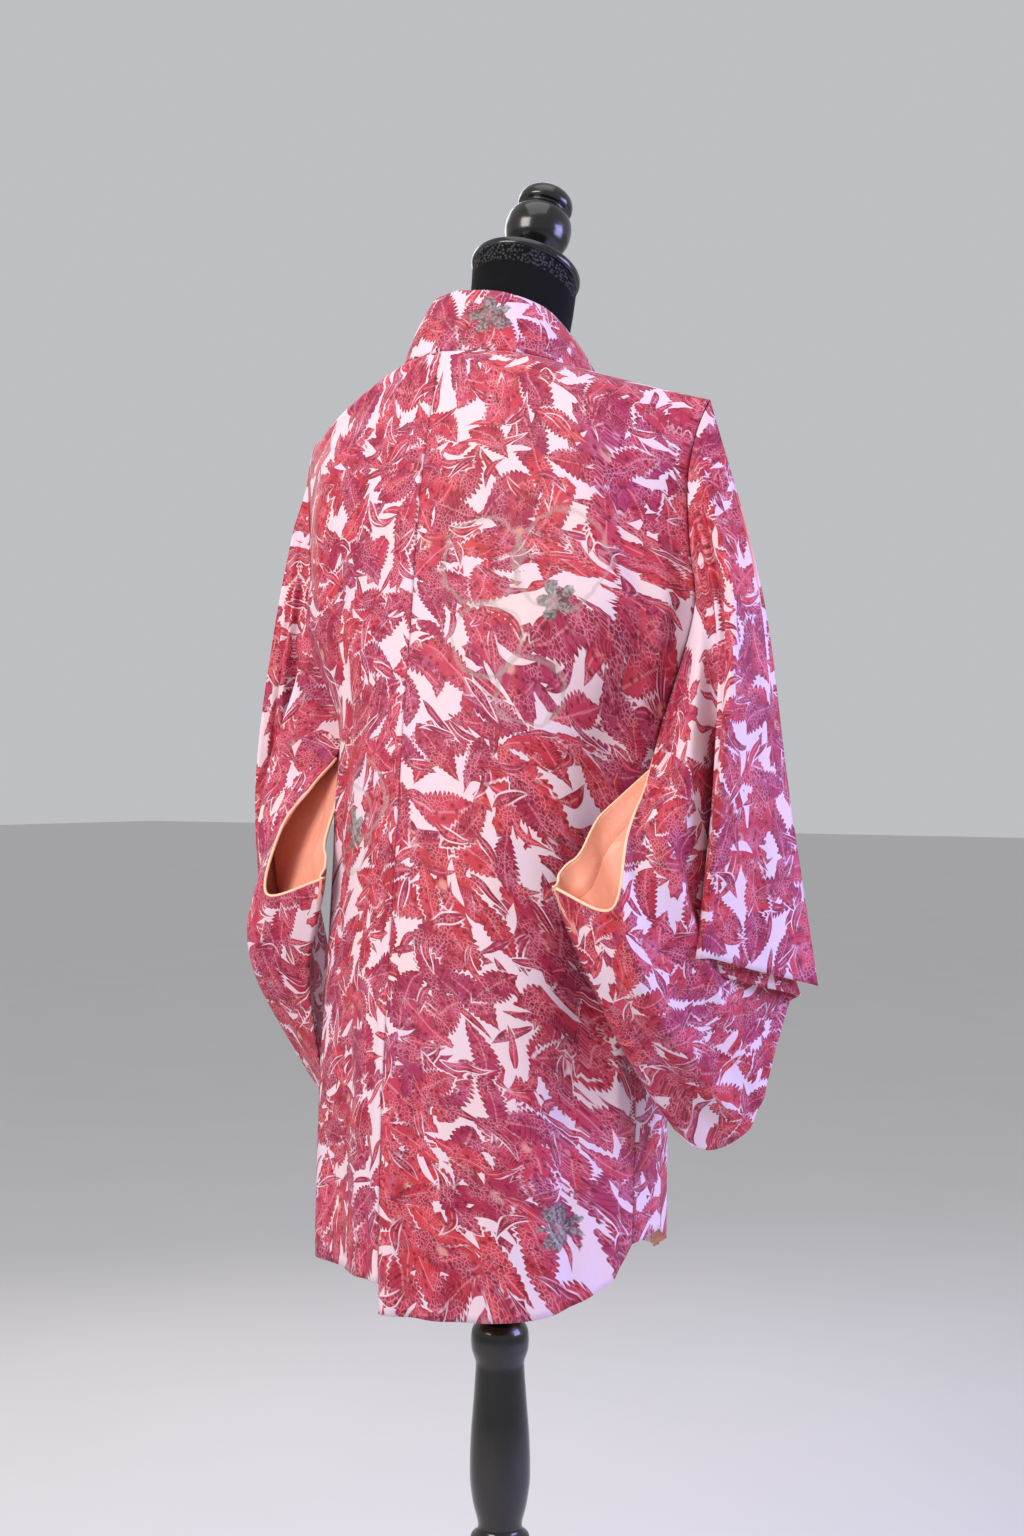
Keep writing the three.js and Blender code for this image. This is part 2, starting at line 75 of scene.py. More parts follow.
ARMPIT_RAIL = 7
# How the two sleeves hang: side; how much lower the cuff is; and how much nearer the body the upper
# and the lower rails lie at the four points of a rail, and the rim of the opening besides, mm.
SLEEVE_SIDES = {
    "right": dict(side=-1, cuff_drop=0, top_in=(-5, -4, -2, -6), low_in=(0, 0, 0, 0), rim_in=0),
    "left": dict(side=1, cuff_drop=34, top_in=(0, 33, 28, 22), low_in=(28, 28, 34, 30), rim_in=14),
}
CORNER_RAILS, CORNER_SHARE = 0.7, 0.09  # round corner below the cuff: rails up, share of the length
SLEEVE_SEAM = (0.6, 0, 0)  # the panel stops this far short of the sleeve's edge, mm

# Panel levels, mm: inner = the inner edge sideways, back and up; rail = place on the sleeve's edge
# (0 at the shoulder fold, plus down the back, minus down the front) or side = point on the side seam,
# which lies left_in nearer the middle on the left; sweep = how far the level turns round the body in
# degrees; flat = share by which it runs straight; rise = power of the width with which it climbs to
# the side; lean = direction in which the collar leaves the seam, FLAT_LEAN where it isn't given.
BACK_LEVELS = (
    dict(inner=(0, 175, HEM), side=(158, 32, 682), sweep=88, rise=5),
    dict(inner=(0, 174, 720), side=(159, 31, 745), left_in=3, sweep=88, rise=5),
    dict(inner=(0, 170, 810), side=(161, 30, 818), left_in=7, sweep=88, rise=4),
    dict(inner=(0, 162, 905), side=(165, 29, 907), left_in=16, sweep=86),
    dict(inner=(0, 153, 1000), side=(169, 28, 1000), left_in=23, sweep=84),
    dict(inner=(0, 146, 1070), side=(175, 28, 1066), left_in=26, sweep=78),
    dict(inner=(0, 141, 1125), rail=7, sweep=72),
    dict(inner=(0, 131, 1200), rail=6, sweep=62),
    dict(inner=(0, 126, 1250), rail=5, sweep=58),
    dict(inner=(0, 121, 1292), rail=4, sweep=54),
    dict(inner=(0, 114, 1335), rail=3, sweep=50),
    dict(inner=(0, 104, 1380), rail=2.2, sweep=46),
    dict(inner=(0, 88, 1437), rail=1.5, sweep=34),
)
FLAT_LEAN = (-58, -12, 0)
FRONT_LEVELS = (
    dict(inner=(0, 88, 1437), rail=1.5, sweep=34, lean=(0, -23, 56)),
    dict(inner=(50, 72, 1435), rail=0.9, sweep=24, lean=(-12, -22, 54)),
    dict(inner=(77, 39, 1430), rail=0.45, sweep=14, lean=(-20, -25, 50)),
    dict(inner=(86, 2, 1423), rail=0, sweep=8, lean=(-28, -28, 39)),
    dict(inner=(87, -40, 1404), rail=-0.7, sweep=16, lean=(-34, -32, 33)),
    dict(inner=(84, -80, 1362), rail=-1.5, sweep=30, lean=(-45, -28, 24)),
    dict(inner=(82, -108, 1308), rail=-3, sweep=44, lean=(-54, -20, 8)),
    dict(inner=(82, -126, 1248), rail=-5, sweep=54, lean=(-58, -13, 0)),
    dict(inner=(84, -135, 1190), rail=-6, sweep=62),
    dict(inner=(86, -138, 1125), rail=-7, sweep=70),
    dict(inner=(88, -133, 1068), side=(174, -17, 1066), left_in=25, sweep=66, flat=0.3),
    dict(inner=(90, -124, 1000), side=(165, -19, 1000), left_in=19, sweep=56, flat=0.5),
    dict(inner=(91, -116, 905), side=(158, -20, 907), left_in=9, sweep=48, flat=0.7),
    dict(inner=(92, -111, 810), side=(156, -21, 818), left_in=2, sweep=44, flat=0.8),
    dict(inner=(93, -108, 720), side=(154, -22, 745), sweep=44, flat=0.8, rise=2),
    dict(inner=(94, -106, 650), side=(153, -23, 686), sweep=44, flat=0.8, rise=2),
)
# Flat cut of each piece of cloth, metres: widest and longest, the share of it that the shaped piece
# fills, and where it lies on the printed cloth.
FLAT_CUTS = {
    "body_right": (0.285, 1.73, 0.60, (1.37, 0.0)), "body_left": (0.280, 1.64, 0.60, (0.0, 0.0)),
    "gusset_right": (0.055, 0.426, 0.90, (2.1, 0.4)), "gusset_left": (0.055, 0.426, 0.90, (2.1, 0.4)),
    "sleeve_right": (0.56, 0.82, 0.52, (3.4, 3.3)), "sleeve_left": (0.56, 0.82, 0.52, (5.4, 3.3)),
    "sleeve_lining_right": (0.034, 0.41, 0.62, (0.3, -0.1)), "collar": (0.062, 1.98, 1.0, (6.2, 5.1)),
    "sleeve_lining_left": (0.034, 0.41, 0.62, (0.3, 0.1)),
}
HEM_LIFT = {"right": -4, "left": 21}  # how much higher each half of the back hem is at the middle, mm
BACK_FLAT = {"right": 0.0, "left": 0.35}  # share by which the back's lower levels run straight
SEAM_GROOVE = 1.3  # depth to which the inner seam is pressed in, mm

# Fineness: rows of a panel's back and front and columns across, rows and columns of a sleeve's layer;
# columns and rows of the lining at a sleeve's open side. Its thickness and the rolled edge's radius.
BACK_ROWS, FRONT_ROWS, PANEL_COLUMNS, SLEEVE_ROWS, LAYER_COLUMNS = 150, 170, 72, 90, 120
OPEN_COLUMNS, LINING_ROWS, LINING_WALL, ROLL_RADIUS = 80, 13, 0.0009, 0.0013

# Creases of a panel's back: share of the width, upper and lower height, depth, width, slant (mm).
BACK_CREASES = {
    "right": (
        (0.62, 1400, 1180, 7.5, 0.12, 0.10), (0.80, 1150, 800, -7.5, 0.12, -0.08),
        (0.50, 960, 560, 6.0, 0.16, 0.05), (0.13, 860, 560, -6.0, 0.06, 0.0),
        (0.045, 1120, 560, 2.2, 0.025, 0.0), (0.30, 1330, 1010, -2.6, 0.05, 0.10),
        (0.42, 1200, 930, 2.4, 0.05, -0.06), (0.72, 1330, 1160, -4.8, 0.05, 0.10),
        (0.88, 1290, 1130, 4.0, 0.05, 0.02), (0.66, 840, 560, -4.2, 0.05, 0.06),
        (0.34, 780, 560, -3.5, 0.05, -0.05), (0.90, 900, 580, 4.2, 0.04, -0.04),
    ),
    "left": (
        (0.58, 1390, 1150, 6.0, 0.13, 0.12), (0.70, 1100, 620, 7.5, 0.14, -0.10),
        (0.30, 900, 560, -6.0, 0.12, 0.04), (0.07, 1090, 560, -3.2, 0.04, 0.02),
        (0.45, 1280, 1000, -3.2, 0.05, 0.12), (0.80, 1260, 1120, 4.8, 0.06, 0.08),
        (0.85, 820, 560, -4.2, 0.06, 0.02), (0.52, 760, 560, 3.2, 0.05, 0.0),
    ),
}
FRONT_CREASES = {
    "right": (
        (0.55, 1370, 1120, 4.8, 0.12, -0.12), (0.35, 1100, 560, -4.8, 0.10, 0.06),
        (0.75, 1000, 560, 5.6, 0.12, 0.0), (0.60, 860, 560, -3.2, 0.05, 0.04),
    ),
    "left": (
        (0.50, 1360, 1100, -4.8, 0.12, -0.10), (0.30, 1050, 560, 4.8, 0.12, 0.03),
        (0.70, 980, 560, -5.1, 0.10, 0.06), (0.86, 880, 560, 3.5, 0.06, 0.0),
    ),
}
# Creases of a sleeve: from and to as (rail number, share of the way to the cuff), depth mm, width.
SLEEVE_CREASES = {
    "right": (
        ((2.0, 0.04), (2.0, 1.0), 5.5, 0.16), ((2.75, 0.12), (2.8, 1.0), -6.0, 0.24),
        ((0.55, 0.15), (0.75, 0.85), 2.2, 0.20), ((1.25, 0.35), (1.05, 1.0), -1.8, 0.16),
        ((8.2, 0.05), (8.8, 0.70), 4.0, 0.30), ((9.2, 0.05), (9.5, 0.80), -4.0, 0.22),
        ((9.9, 0.10), (9.9, 0.95), 4.0, 0.20), ((10.5, 0.05), (10.4, 0.90), -3.0, 0.16),
        ((7.6, 0.15), (8.1, 0.55), -2.5, 0.18), ((8.6, 0.55), (9.2, 1.0), 2.5, 0.2),
    ),
    "left": (
        ((2.0, 0.04), (2.0, 1.0), 4.5, 0.16), ((2.75, 0.12), (2.8, 1.0), -5.0, 0.24),
        ((0.6, 0.20), (0.85, 0.95), -2.0, 0.20), ((1.3, 0.30), (1.2, 1.0), 1.8, 0.18),
        ((8.4, 0.05), (9.0, 0.75), -3.5, 0.28), ((9.4, 0.05), (9.7, 0.85), 4.0, 0.24),
        ((10.3, 0.10), (10.2, 0.95), -3.5, 0.20), ((7.7, 0.15), (8.3, 0.60), 2.5, 0.2),
    ),
}

# Form levels: height, half width, back reach, front reach, forward tip in degrees.
FORM_LEVELS = (
    (762, 138, 96, -92, 0), (775, 146, 102, -98, 0), (820, 150, 112, -102, 0),
    (880, 148, 116, -102, 0), (960, 132, 100, -92, 0), (1050, 117, 84, -86, 0),
    (1130, 130, 96, -100, 0), (1210, 146, 108, -113, 0), (1280, 158, 106, -102, 0),
    (1330, 174, 88, -78, 0), (1360, 186, 70, -56, 0), (1378, 186, 58, -46, 0),
    (1390, 164, 52, -42, 0), (1402, 124, 46, -42, 0), (1412, 92, 42, -46, 1),
    (1424, 68, 36, -54, 3), (1442, 55, 30, -66, 8), (1470, 48, 20, -72, 14),
    (1500, 47, 11, -80, 20), (1523.6, 47, 8.5, -85.5, 25),
)
NECK_TOP = (0.0, -0.0385, 1.524)
NECK_TILT = 25.0
NECK_AXIS = (0.0, -math.sin(math.radians(NECK_TILT)), math.cos(math.radians(NECK_TILT)))
# Turned profiles: height along the axis and radius, mm.
CAP_PROFILE = ((0, 0), (0, 48.5), (2, 50.5), (7, 50.5), (10, 47), (14, 34), (18, 20), (20, 0))
FINIAL_PROFILE = (
    (20.3, 0), (20.3, 13), (25, 15), (29, 20), (36, 26.5), (45, 30), (54, 30.5), (62, 29),
    (68, 25.5), (71.5, 21), (73.5, 21), (75.5, 25), (81, 25.6), (87, 23.6), (92.5, 18), (96, 10),
    (97, 0),
)
POST_PROFILE = (
    (45.3, 0), (45.3, 40), (58, 38), (72, 25), (92, 20), (160, 19), (250, 24), (330, 21), (376, 18),
    (384, 20), (388, 26.5), (398, 26.5), (403, 20), (409, 19.5), (425, 24), (445, 27), (468, 27),
    (490, 26), (520, 23.5), (550, 21.5), (553, 22), (556, 23), (563, 25.4), (572, 26), (581, 25.2),
    (588, 21), (592, 15), (596, 12.5), (761.6, 12.5), (761.6, 0),
)
FOOT_PROFILE = (
    (0, 0), (0, 190), (12, 190), (20, 184), (25, 168), (30, 120), (36, 72), (42, 52), (45, 44),
    (45, 0),
)


# ---------------------------------------------------------------- sizes and colours

def number(name, description, default, unit="NONE"):
    return FloatProperty(name=name, description=description, default=default, unit=unit)


def length(name, description, default):
    return number(name, description, default, "LENGTH")


def colour(name, description, default):
    return FloatVectorProperty(name=name, description=description, subtype="COLOR", size=3,
                               default=default)


class HaoriCloth(PropertyGroup):
    """Sizes and colours of the garment."""

    wall: length("Cloth", "Thickness of lined silk", 0.0012)
    collar_wall: length("Collar", "Thickness of the folded collar", 0.0024)
    collar_width: length("Collar width", "From the seam to the folded edge", 0.061)
    seam: length("Seam", "Room left at each seam", 0.00035)
    sleeve_gap: length("Sleeve gap", "Outer face to outer face of the hanging sleeve", 0.004)
    leaf_pitch: length("Leaf pitch", "Mean spacing of the large leaves", 0.052)
    ground: colour("Ground", "Undyed silk", (0.80, 0.59, 0.63))
    coral: colour("Coral", "Warm red dye", (0.54, 0.036, 0.060))
    crimson: colour("Crimson", "Deep red dye", (0.36, 0.012, 0.038))
    mauve: colour("Mauve", "Cool dye", (0.38, 0.045, 0.17))
    line: colour("Line", "Fine dark lines", (0.16, 0.004, 0.016))
    peach: colour("Peach", "Lining silk", (0.84, 0.30, 0.19))
    piping: colour("Piping", "Rolled edge of the lining", (0.90, 0.55, 0.36))


class FormSettings(PropertyGroup):
    """Sizes and colours of the form and its stand."""

    around: IntProperty(name="Segments", description="Segments round a turned piece", default=96)
    velvet: colour("Velvet", "Cover of the form", (0.0025, 0.0025, 0.0032))
    wood: colour("Wood", "Black lacquered wood", (0.003, 0.0028, 0.003))


class StudioSettings(PropertyGroup):
    """Camera and lights."""

    distance: length("Camera distance", "From the stand's axis", 1.9)
    height: length("Camera height", "Above the floor", 1.08)
    aside: length("Camera aside", "To the right of the line to the axis", 0.0107)
    turn: number("Camera turn", "Round from straight behind, in degrees", 35.0)
    lens: number("Lens", "Focal length in mm on a 36 mm sensor", 50.0)
    key: number("Key", "Warm light from the left, watts", 56.0)
    fill: number("Fill", "Cool light from the right, watts", 58.0)
    top: number("Top", "Light from above, watts", 12.0)
    front: number("Front", "Light on the front, watts", 16.0)
    world: number("World", "Strength of the pale sky", 0.60)


# Lamps: name, then metres from the axis toward the camera, to its right and up, width, colour.
LAMPS = (
    ("key", 1.6, -1.7, 2.3, 1.3, (1.0, 0.93, 0.86)),
    ("fill", 0.5, 2.2, 1.5, 1.2, (0.47, 0.46, 1.0)),
    ("top", 0.4, 0.0, 3.1, 1.6, (1.0, 0.98, 0.96)),
    ("front", -2.2, -0.6, 1.9, 1.6, (1.0, 0.97, 0.94)),
)


# ---------------------------------------------------------------- curves and grids

def hermite(f, a, b, from_slope, to_slope):
    """Cubic from a to b at shares f with the slopes at its ends."""
    f2, f3 = f * f, f ** 3
    return (2 * f3 - 3 * f2 + 1) * a + (f3 - 2 * f2 + f) * from_slope + (3 * f2 - 2 * f3) * b \
        + (f3 - f2) * to_slope


def unit(v):
    """Vectors brought to length 1."""
    return v / np.maximum(np.linalg.norm(v, axis=-1, keepdims=True), 1e-12)


def spline(points, at, closed=False):
    """Curve through points (..., n, 3) read at shares at (m,): cubic pieces whose slopes weigh the
    neighbouring chords by the square root of their lengths, so close points give no loops."""
    p = np.asarray(points, float)
    n = p.shape[-2]
    at = np.asarray(at, float)
    if closed:
        run = np.concatenate([p[..., -1:, :], p, p[..., :2, :]], axis=-2)
        place = (at % 1.0) * n
        i = np.minimum(place.astype(int), n - 1)
    else:
        run = np.concatenate(
            [2 * p[..., :1, :] - p[..., 1:2, :], p, 2 * p[..., -1:, :] - p[..., -2:-1, :]], axis=-2)
        place = np.clip(at, 0, 1) * (n - 1)
        i = np.minimum(place.astype(int), n - 2)
    f = (place - i)[:, None]
    a, b, c, d = (run[..., i + k, :] for k in range(4))
    gap = lambda u, v: np.sqrt(np.maximum(np.linalg.norm(v - u, axis=-1, keepdims=True), 1e-7))
    ab, bc, cd = gap(a, b), gap(b, c), gap(c, d)
    m1 = ((b - a) / ab - (c - a) / (ab + bc) + (c - b) / bc) * bc
    m2 = ((c - b) / bc - (d - b) / (bc + cd) + (d - c) / cd) * bc
    return hermite(f, b, c, m1, m2)


def smooth_column(values, at):
    """A table's columns read at fractional rows: cubic pieces with the neighbours' slope."""
    v = np.asarray(values, float)
    i = np.clip(at.astype(int), 0, len(v) - 2)
    f = (at - i).reshape((-1,) + (1,) * (v.ndim - 1))
    a, b, c, d = (v[np.clip(k, 0, len(v) - 1)] for k in (i - 1, i, i + 1, i + 2))
    return hermite(f, b, c, (c - a) / 2, (d - b) / 2)


def step(x, low, high):
    """Smooth step from 0 at low to 1 at high."""
    t = np.clip((x - low) / (high - low), 0, 1)
    return t * t * (3 - 2 * t)


def bell(x, width):
    """Bell curve exp(-(x / width)^2)."""
    return np.exp(-((x / width) ** 2))


def grid_normals(grid, ring=False):
    """Unit normals: the difference of the neighbours across times that of the neighbours along."""
    along = np.gradient(grid, axis=0)
    across = (np.roll(grid, -1, 1) - np.roll(grid, 1, 1)) if ring else np.gradient(grid, axis=1)
    return unit(np.cross(across, along))


def flat_cut(grid, rows=14, columns=34, rounds=160):
    """Cloth coordinates in metres: the grid laid out flat. A coarse net of its points is pulled by
    springs along and across its cells, each of the length that it has on the hanging cloth: every
    round sets the springs to their lengths and then finds the net that fits them best."""
    n, m = grid.shape[:2]
    r = np.unique(np.linspace(0, n - 1, rows).round().astype(int))
    c = np.unique(np.linspace(0, m - 1, columns).round().astype(int))
    chord = lambda axis: np.linalg.norm(np.diff(grid, axis=axis), axis=-1)
    fine_u = np.pad(np.cumsum(chord(1), axis=1), ((0, 0), (1, 0)))
    fine_v = np.pad(np.cumsum(chord(0), axis=0), ((1, 0), (0, 0)))
    pick = np.ix_(r, c)
    net = np.stack([fine_u[pick], fine_v[pick]], axis=-1).reshape(-1, 2)
    number = np.arange(len(r) * len(c)).reshape(len(r), len(c))
    pairs = ((number[:, :-1], number[:, 1:]), (number[:-1], number[1:]),
             (number[:-1, :-1], number[1:, 1:]), (number[:-1, 1:], number[1:, :-1]))
    a = np.concatenate([x.ravel() for x, _ in pairs])
    b = np.concatenate([y.ravel() for _, y in pairs])
    points = grid[pick].reshape(-1, 3)
    length = np.linalg.norm(points[b] - points[a], axis=1)
    # along rows and columns the running length counts, so that folds between net points keep it
    straight = np.concatenate([np.diff(fine_u[pick], axis=1).ravel(),
                               np.diff(fine_v[pick], axis=0).ravel()])
    k = len(straight)
    length[k:] *= (straight / np.maximum(length[:k], 1e-9)).mean()
    length[:k] = straight
    weight = 1.0 / np.maximum(length, 1e-4)
    pull = np.zeros((len(net), len(net)))
    for i, j, sign in ((a, a, 1), (b, b, 1), (a, b, -1), (b, a, -1)):
        np.add.at(pull, (i, j), sign * weight)
    pull[0, 0] += 1.0
    solve = np.linalg.inv(pull)
    for _ in range(rounds):
        way = net[b] - net[a]
        way *= (length * weight / np.maximum(np.linalg.norm(way, axis=1), 1e-9))[:, None]
        load = np.zeros_like(net)
        np.add.at(load, b, way)
        np.add.at(load, a, -way)
        net = solve @ load
    net = net.reshape(len(r), len(c), 2)
    along_rows = smooth_column(np.eye(len(r)), np.interp(np.arange(n), r, np.arange(len(r))))
    along_columns = smooth_column(np.eye(len(c)), np.interp(np.arange(m), c, np.arange(len(c))))
    return np.einsum("ir,rck,jc->ijk", along_rows, net, along_columns)


def mirror(grid, side):
    """To the wearer's right when side is -1, with the columns turned round to keep the face out."""
    return grid if side > 0 else (grid * np.array([-1, 1, 1]))[:, ::-1]


def link(name, data):
    """The data as an object of the scene, at the origin."""
    piece = bpy.data.objects.new(name, data)
    bpy.context.scene.collection.objects.link(piece)
    return piece


def set_up(data, place, facing):
    """A lamp or camera at a place, turned to face a direction."""
    piece = link(data.name, data)
    piece.location = place
    piece.rotation_euler = facing.to_track_quat("-Z", "Y").to_euler()
    return piece


def make_mesh(name, points, quads, materials, face_slots, corners_uv):
    """A smooth-shaded mesh of quads at the origin, with its cloth coordinates as the UV map."""
    mesh = bpy.data.meshes.new(name)
    mesh.vertices.add(len(points))
    mesh.vertices.foreach_set("co", np.ascontiguousarray(points, np.float32).ravel())
    mesh.loops.add(quads.size)
    mesh.loops.foreach_set("vertex_index", quads.ravel().astype(np.int32))
    mesh.polygons.add(len(quads))
    mesh.polygons.foreach_set("loop_start", np.arange(len(quads), dtype=np.int32) * 4)
    mesh.polygons.foreach_set("use_smooth", np.ones(len(quads), bool))
    mesh.polygons.foreach_set("material_index", face_slots.astype(np.int32))
    mesh.uv_layers.new(name="Cut").data.foreach_set(
        "uv", np.ascontiguousarray(corners_uv, np.float32).ravel())
    for m in materials:
        mesh.materials.append(m)
    mesh.update(calc_edges=True)
    mesh.validate()
    return link(name, mesh)


def cloth_wall(name, outer, wall, face, back, ring, offset):
    """A closed wall: the grid, the same grid moved in along its normals by wall, and the rims. Each
    part of it is added as the layer, row and column of a quad's four corners."""
    n, m = outer.shape[:2]
    inner = outer - grid_normals(outer, ring) * wall
    laid = np.concatenate([outer, outer[:, :1]], axis=1) if ring else outer
    uv = flat_cut(laid) + np.array(offset)
    cells = m if ring else m - 1
    i, j = (a.ravel() for a in np.meshgrid(np.arange(n - 1), np.arange(cells), indexing="ij"))
    quads, slots, uvs = [], [], []

    def add(layers, rows, columns, slot):
        index = np.stack([(k * n + r) * m + c % m for k, r, c in zip(layers, rows, columns)], axis=-1)
        quads.append(index.reshape(-1, 4))
        slots.append(np.full(index.size // 4, slot))
        uvs.append(np.stack([uv[r, c] for r, c in zip(rows, columns)], axis=-2).reshape(-1, 2))

    add((0, 0, 0, 0), (i, i, i + 1, i + 1), (j, j + 1, j + 1, j), 0)
    add((1, 1, 1, 1), (i, i + 1, i + 1, i), (j, j, j + 1, j + 1), 1)
    c = np.arange(cells)
    low, high = np.zeros_like(c), np.full_like(c, n - 1)
    add((0, 1, 1, 0), (low, low, low, low), (c, c, c + 1, c + 1), 0)
    add((0, 0, 1, 1), (high, high, high, high), (c, c + 1, c + 1, c), 0)
    if not ring:
        r = np.arange(n - 1)
        left, right = np.zeros_like(r), np.full_like(r, m - 1)
        add((0, 0, 1, 1), (r, r + 1, r + 1, r), (left, left, left, left), 0)
        add((0, 1, 1, 0), (r, r, r + 1, r + 1), (right, right, right, right), 0)
    points = np.concatenate([outer.reshape(-1, 3), inner.reshape(-1, 3)])
    return make_mesh(name, points, np.concatenate(quads), (face, back), np.concatenate(slots),
                     np.concatenate(uvs))


def seat(piece, node=None):
    """Rides on the part and replaces the node's plain solid."""
    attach(piece, "root")
    if node:
        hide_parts(node)


def sew(node, grid, wall, face, back, *rests_on, slot="silk", held="hung", ring=False):
    """One piece of cloth: a closed wall whose cloth coordinates start at its place on the printed
    cloth, seated in place of its node."""
    width, length, share, place = FLAT_CUTS[node]
    piece = cloth_wall("haori_" + node, grid, wall, face, back, ring, place)
    seat(piece, node)


# ---------------------------------------------------------------- sleeves

def sleeve_rails(name, w):
    """Back-layer rails at shares w of the way to the cuff: (rail, w, 3)."""
    hang = SLEEVE_SIDES[name]
    low = step(np.arange(len(RAILS)), 1, ARMPIT_RAIL)[:, None]
    inward = np.array(hang["top_in"]) * (1 - low) + np.array(hang["low_in"]) * low
    stations = RAILS[:, :4] - inward[..., None] * np.array((MM, 0, 0))
    rails = spline(stations, w)
    rails[..., 2] -= hang["cuff_drop"] * MM * w ** 2
    rim = step(np.arange(len(RAILS)), ARMPIT_RAIL, ARMPIT_RAIL + 1.5)[:, None]
    rails[..., 0] -= hang["rim_in"] * MM * (rim * (1 - step(w, 0, 0.45)))
    return rails


def round_corner(layer, above_seam):
    """The layer with its lower cuff corner rounded: each line to the cuff is read over a part of its
    length, which shrinks as a quarter circle over the last rail, and its points move up along it."""
    q = np.clip(1 + above_seam / CORNER_RAILS, 0, 1)
    rows = len(layer)
    place = np.arange(rows)[:, None] * (1 - CORNER_SHARE * (1 - np.sqrt(1 - q * q)))
    i = np.minimum(place.astype(int), rows - 2)
    f = (place - i)[..., None]
    line = np.arange(layer.shape[1])
    return layer[i, line] * (1 - f) + layer[i + 1, line] * f


def sleeve_layers(cloth, name, rows, per_layer):
    """Back and front layer of a sleeve, from the top fold to the bottom seam. The back layer runs
    over the rails; the front layer lies inside it by a vector that starts at the front seam and turns
    into the flat hang; both meet in rounded folds."""
    last = len(RAILS) - 1
    w = np.linspace(0, 1, rows)
    share = np.linspace(0, 1, per_layer)
    rail = share * last
    across = lambda at: spline(np.swapaxes(sleeve_rails(name, at), 0, 1), share)
    back, ahead, behind = across(w), across(np.minimum(w + 0.02, 1)), across(np.maximum(w - 0.02, 0))
    out = unit(-np.cross(np.gradient(back, axis=1), ahead - behind))
    for (u0, w0), (u1, w1), depth, width in SLEEVE_CREASES[name]:
        centre = u0 + (u1 - u0) * np.clip((w - w0) / (w1 - w0), 0, 1)
        fade = step(w, w0 - 0.12, w0 + 0.08) * (1 - step(w, w1 - 0.05, w1 + 0.15) * (w1 < 0.99))
        fade = (fade * np.clip(w / 0.1, 0, 1))[:, None]
        back = back + out * (depth * MM * fade * bell(rail - centre[:, None], width))[..., None]
    begin = spline(RAILS[:, 4] - RAILS[:, 0], share)[None]
    loose = step(rail, 6, 9)[None, :] * (1 - step(w, 0.45, 1))[:, None] * 0.008
    hang = -out * (cloth.sleeve_gap + loose)[..., None]
    flat = step(w, 0, 0.62)[:, None, None]
    end = np.minimum(rail, last - rail)
    between = (begin * (1 - flat) + hang * flat) * np.sqrt(np.clip(end / 0.35, 0, 1))[None, :, None]
    return round_corner(back, rail - last), round_corner(back + between, rail - last)


def sleeve_grid(cloth, name):
    """Rings of the sleeve, from the bottom seam up the back layer and down the front layer."""
    back, front = sleeve_layers(cloth, name, SLEEVE_ROWS, LAYER_COLUMNS)
    return np.concatenate([back[:, ::-1], front[:, 1:-1]], axis=1)


def seam_ring(name):
    """Function that reads the sleeve's body-side edge at a rail number, minus in front."""
    back = sleeve_rails(name, np.array([0.0]))[:, 0]
    loop = np.concatenate([back, (back + RAILS[:, 4] - RAILS[:, 0])[1:-1][::-1]])
    return lambda rail: spline(loop, np.asarray(rail) / len(loop), closed=True)


# ---------------------------------------------------------------- body

def crease_lift(creases, across, z):
    """Sum of bells across the panel, each fading in and out between its two heights, less a narrow
    groove along the inner seam."""
    lift = np.zeros_like(z)
    for place, top, foot, depth, width, slant in creases:
        centre = place + slant * (top - z) / (top - foot)
        run = step(z, foot - 60, foot + 60) * (1 - step(z, top - 60, top + 30))
        lift += depth * run * bell(across - centre, width)
    lift *= step(across, 0, 0.1) * (1 - step(across, 0.88, 1))
    return lift - SEAM_GROOVE * bell(across, 0.014) * (1 - step(z, 1400, 1430))


def column(levels, key, at, fallback=0.0):
    """One column of a level table at fractional rows."""
    return smooth_column([level.get(key, fallback) for level in levels], at)


def side_seam(levels, name, at):
    """Outer edge of a panel at fractional rows, mm: on the sleeve's edge or the side seam."""
    ring = seam_ring(name)
    left = np.array((name == "left", 0, 0))
    corner = np.array([
        level["side"] - left * level.get("left_in", 0) if "side" in level
        else ring([level["rail"]])[0] / MM - SLEEVE_SEAM for level in levels])
    i = np.minimum(at.astype(int), len(levels) - 2)
    f = at - i
    straight = corner[i] * (1 - f)[:, None] + corner[i + 1] * f[:, None]
    rail = np.array([level.get("rail", np.nan) for level in levels], float)
    place = rail[i] * (1 - f) + rail[i + 1] * f
    curved = ring(np.nan_to_num(place)) / MM - SLEEVE_SEAM
    return np.where(np.isnan(place)[:, None], straight, curved)


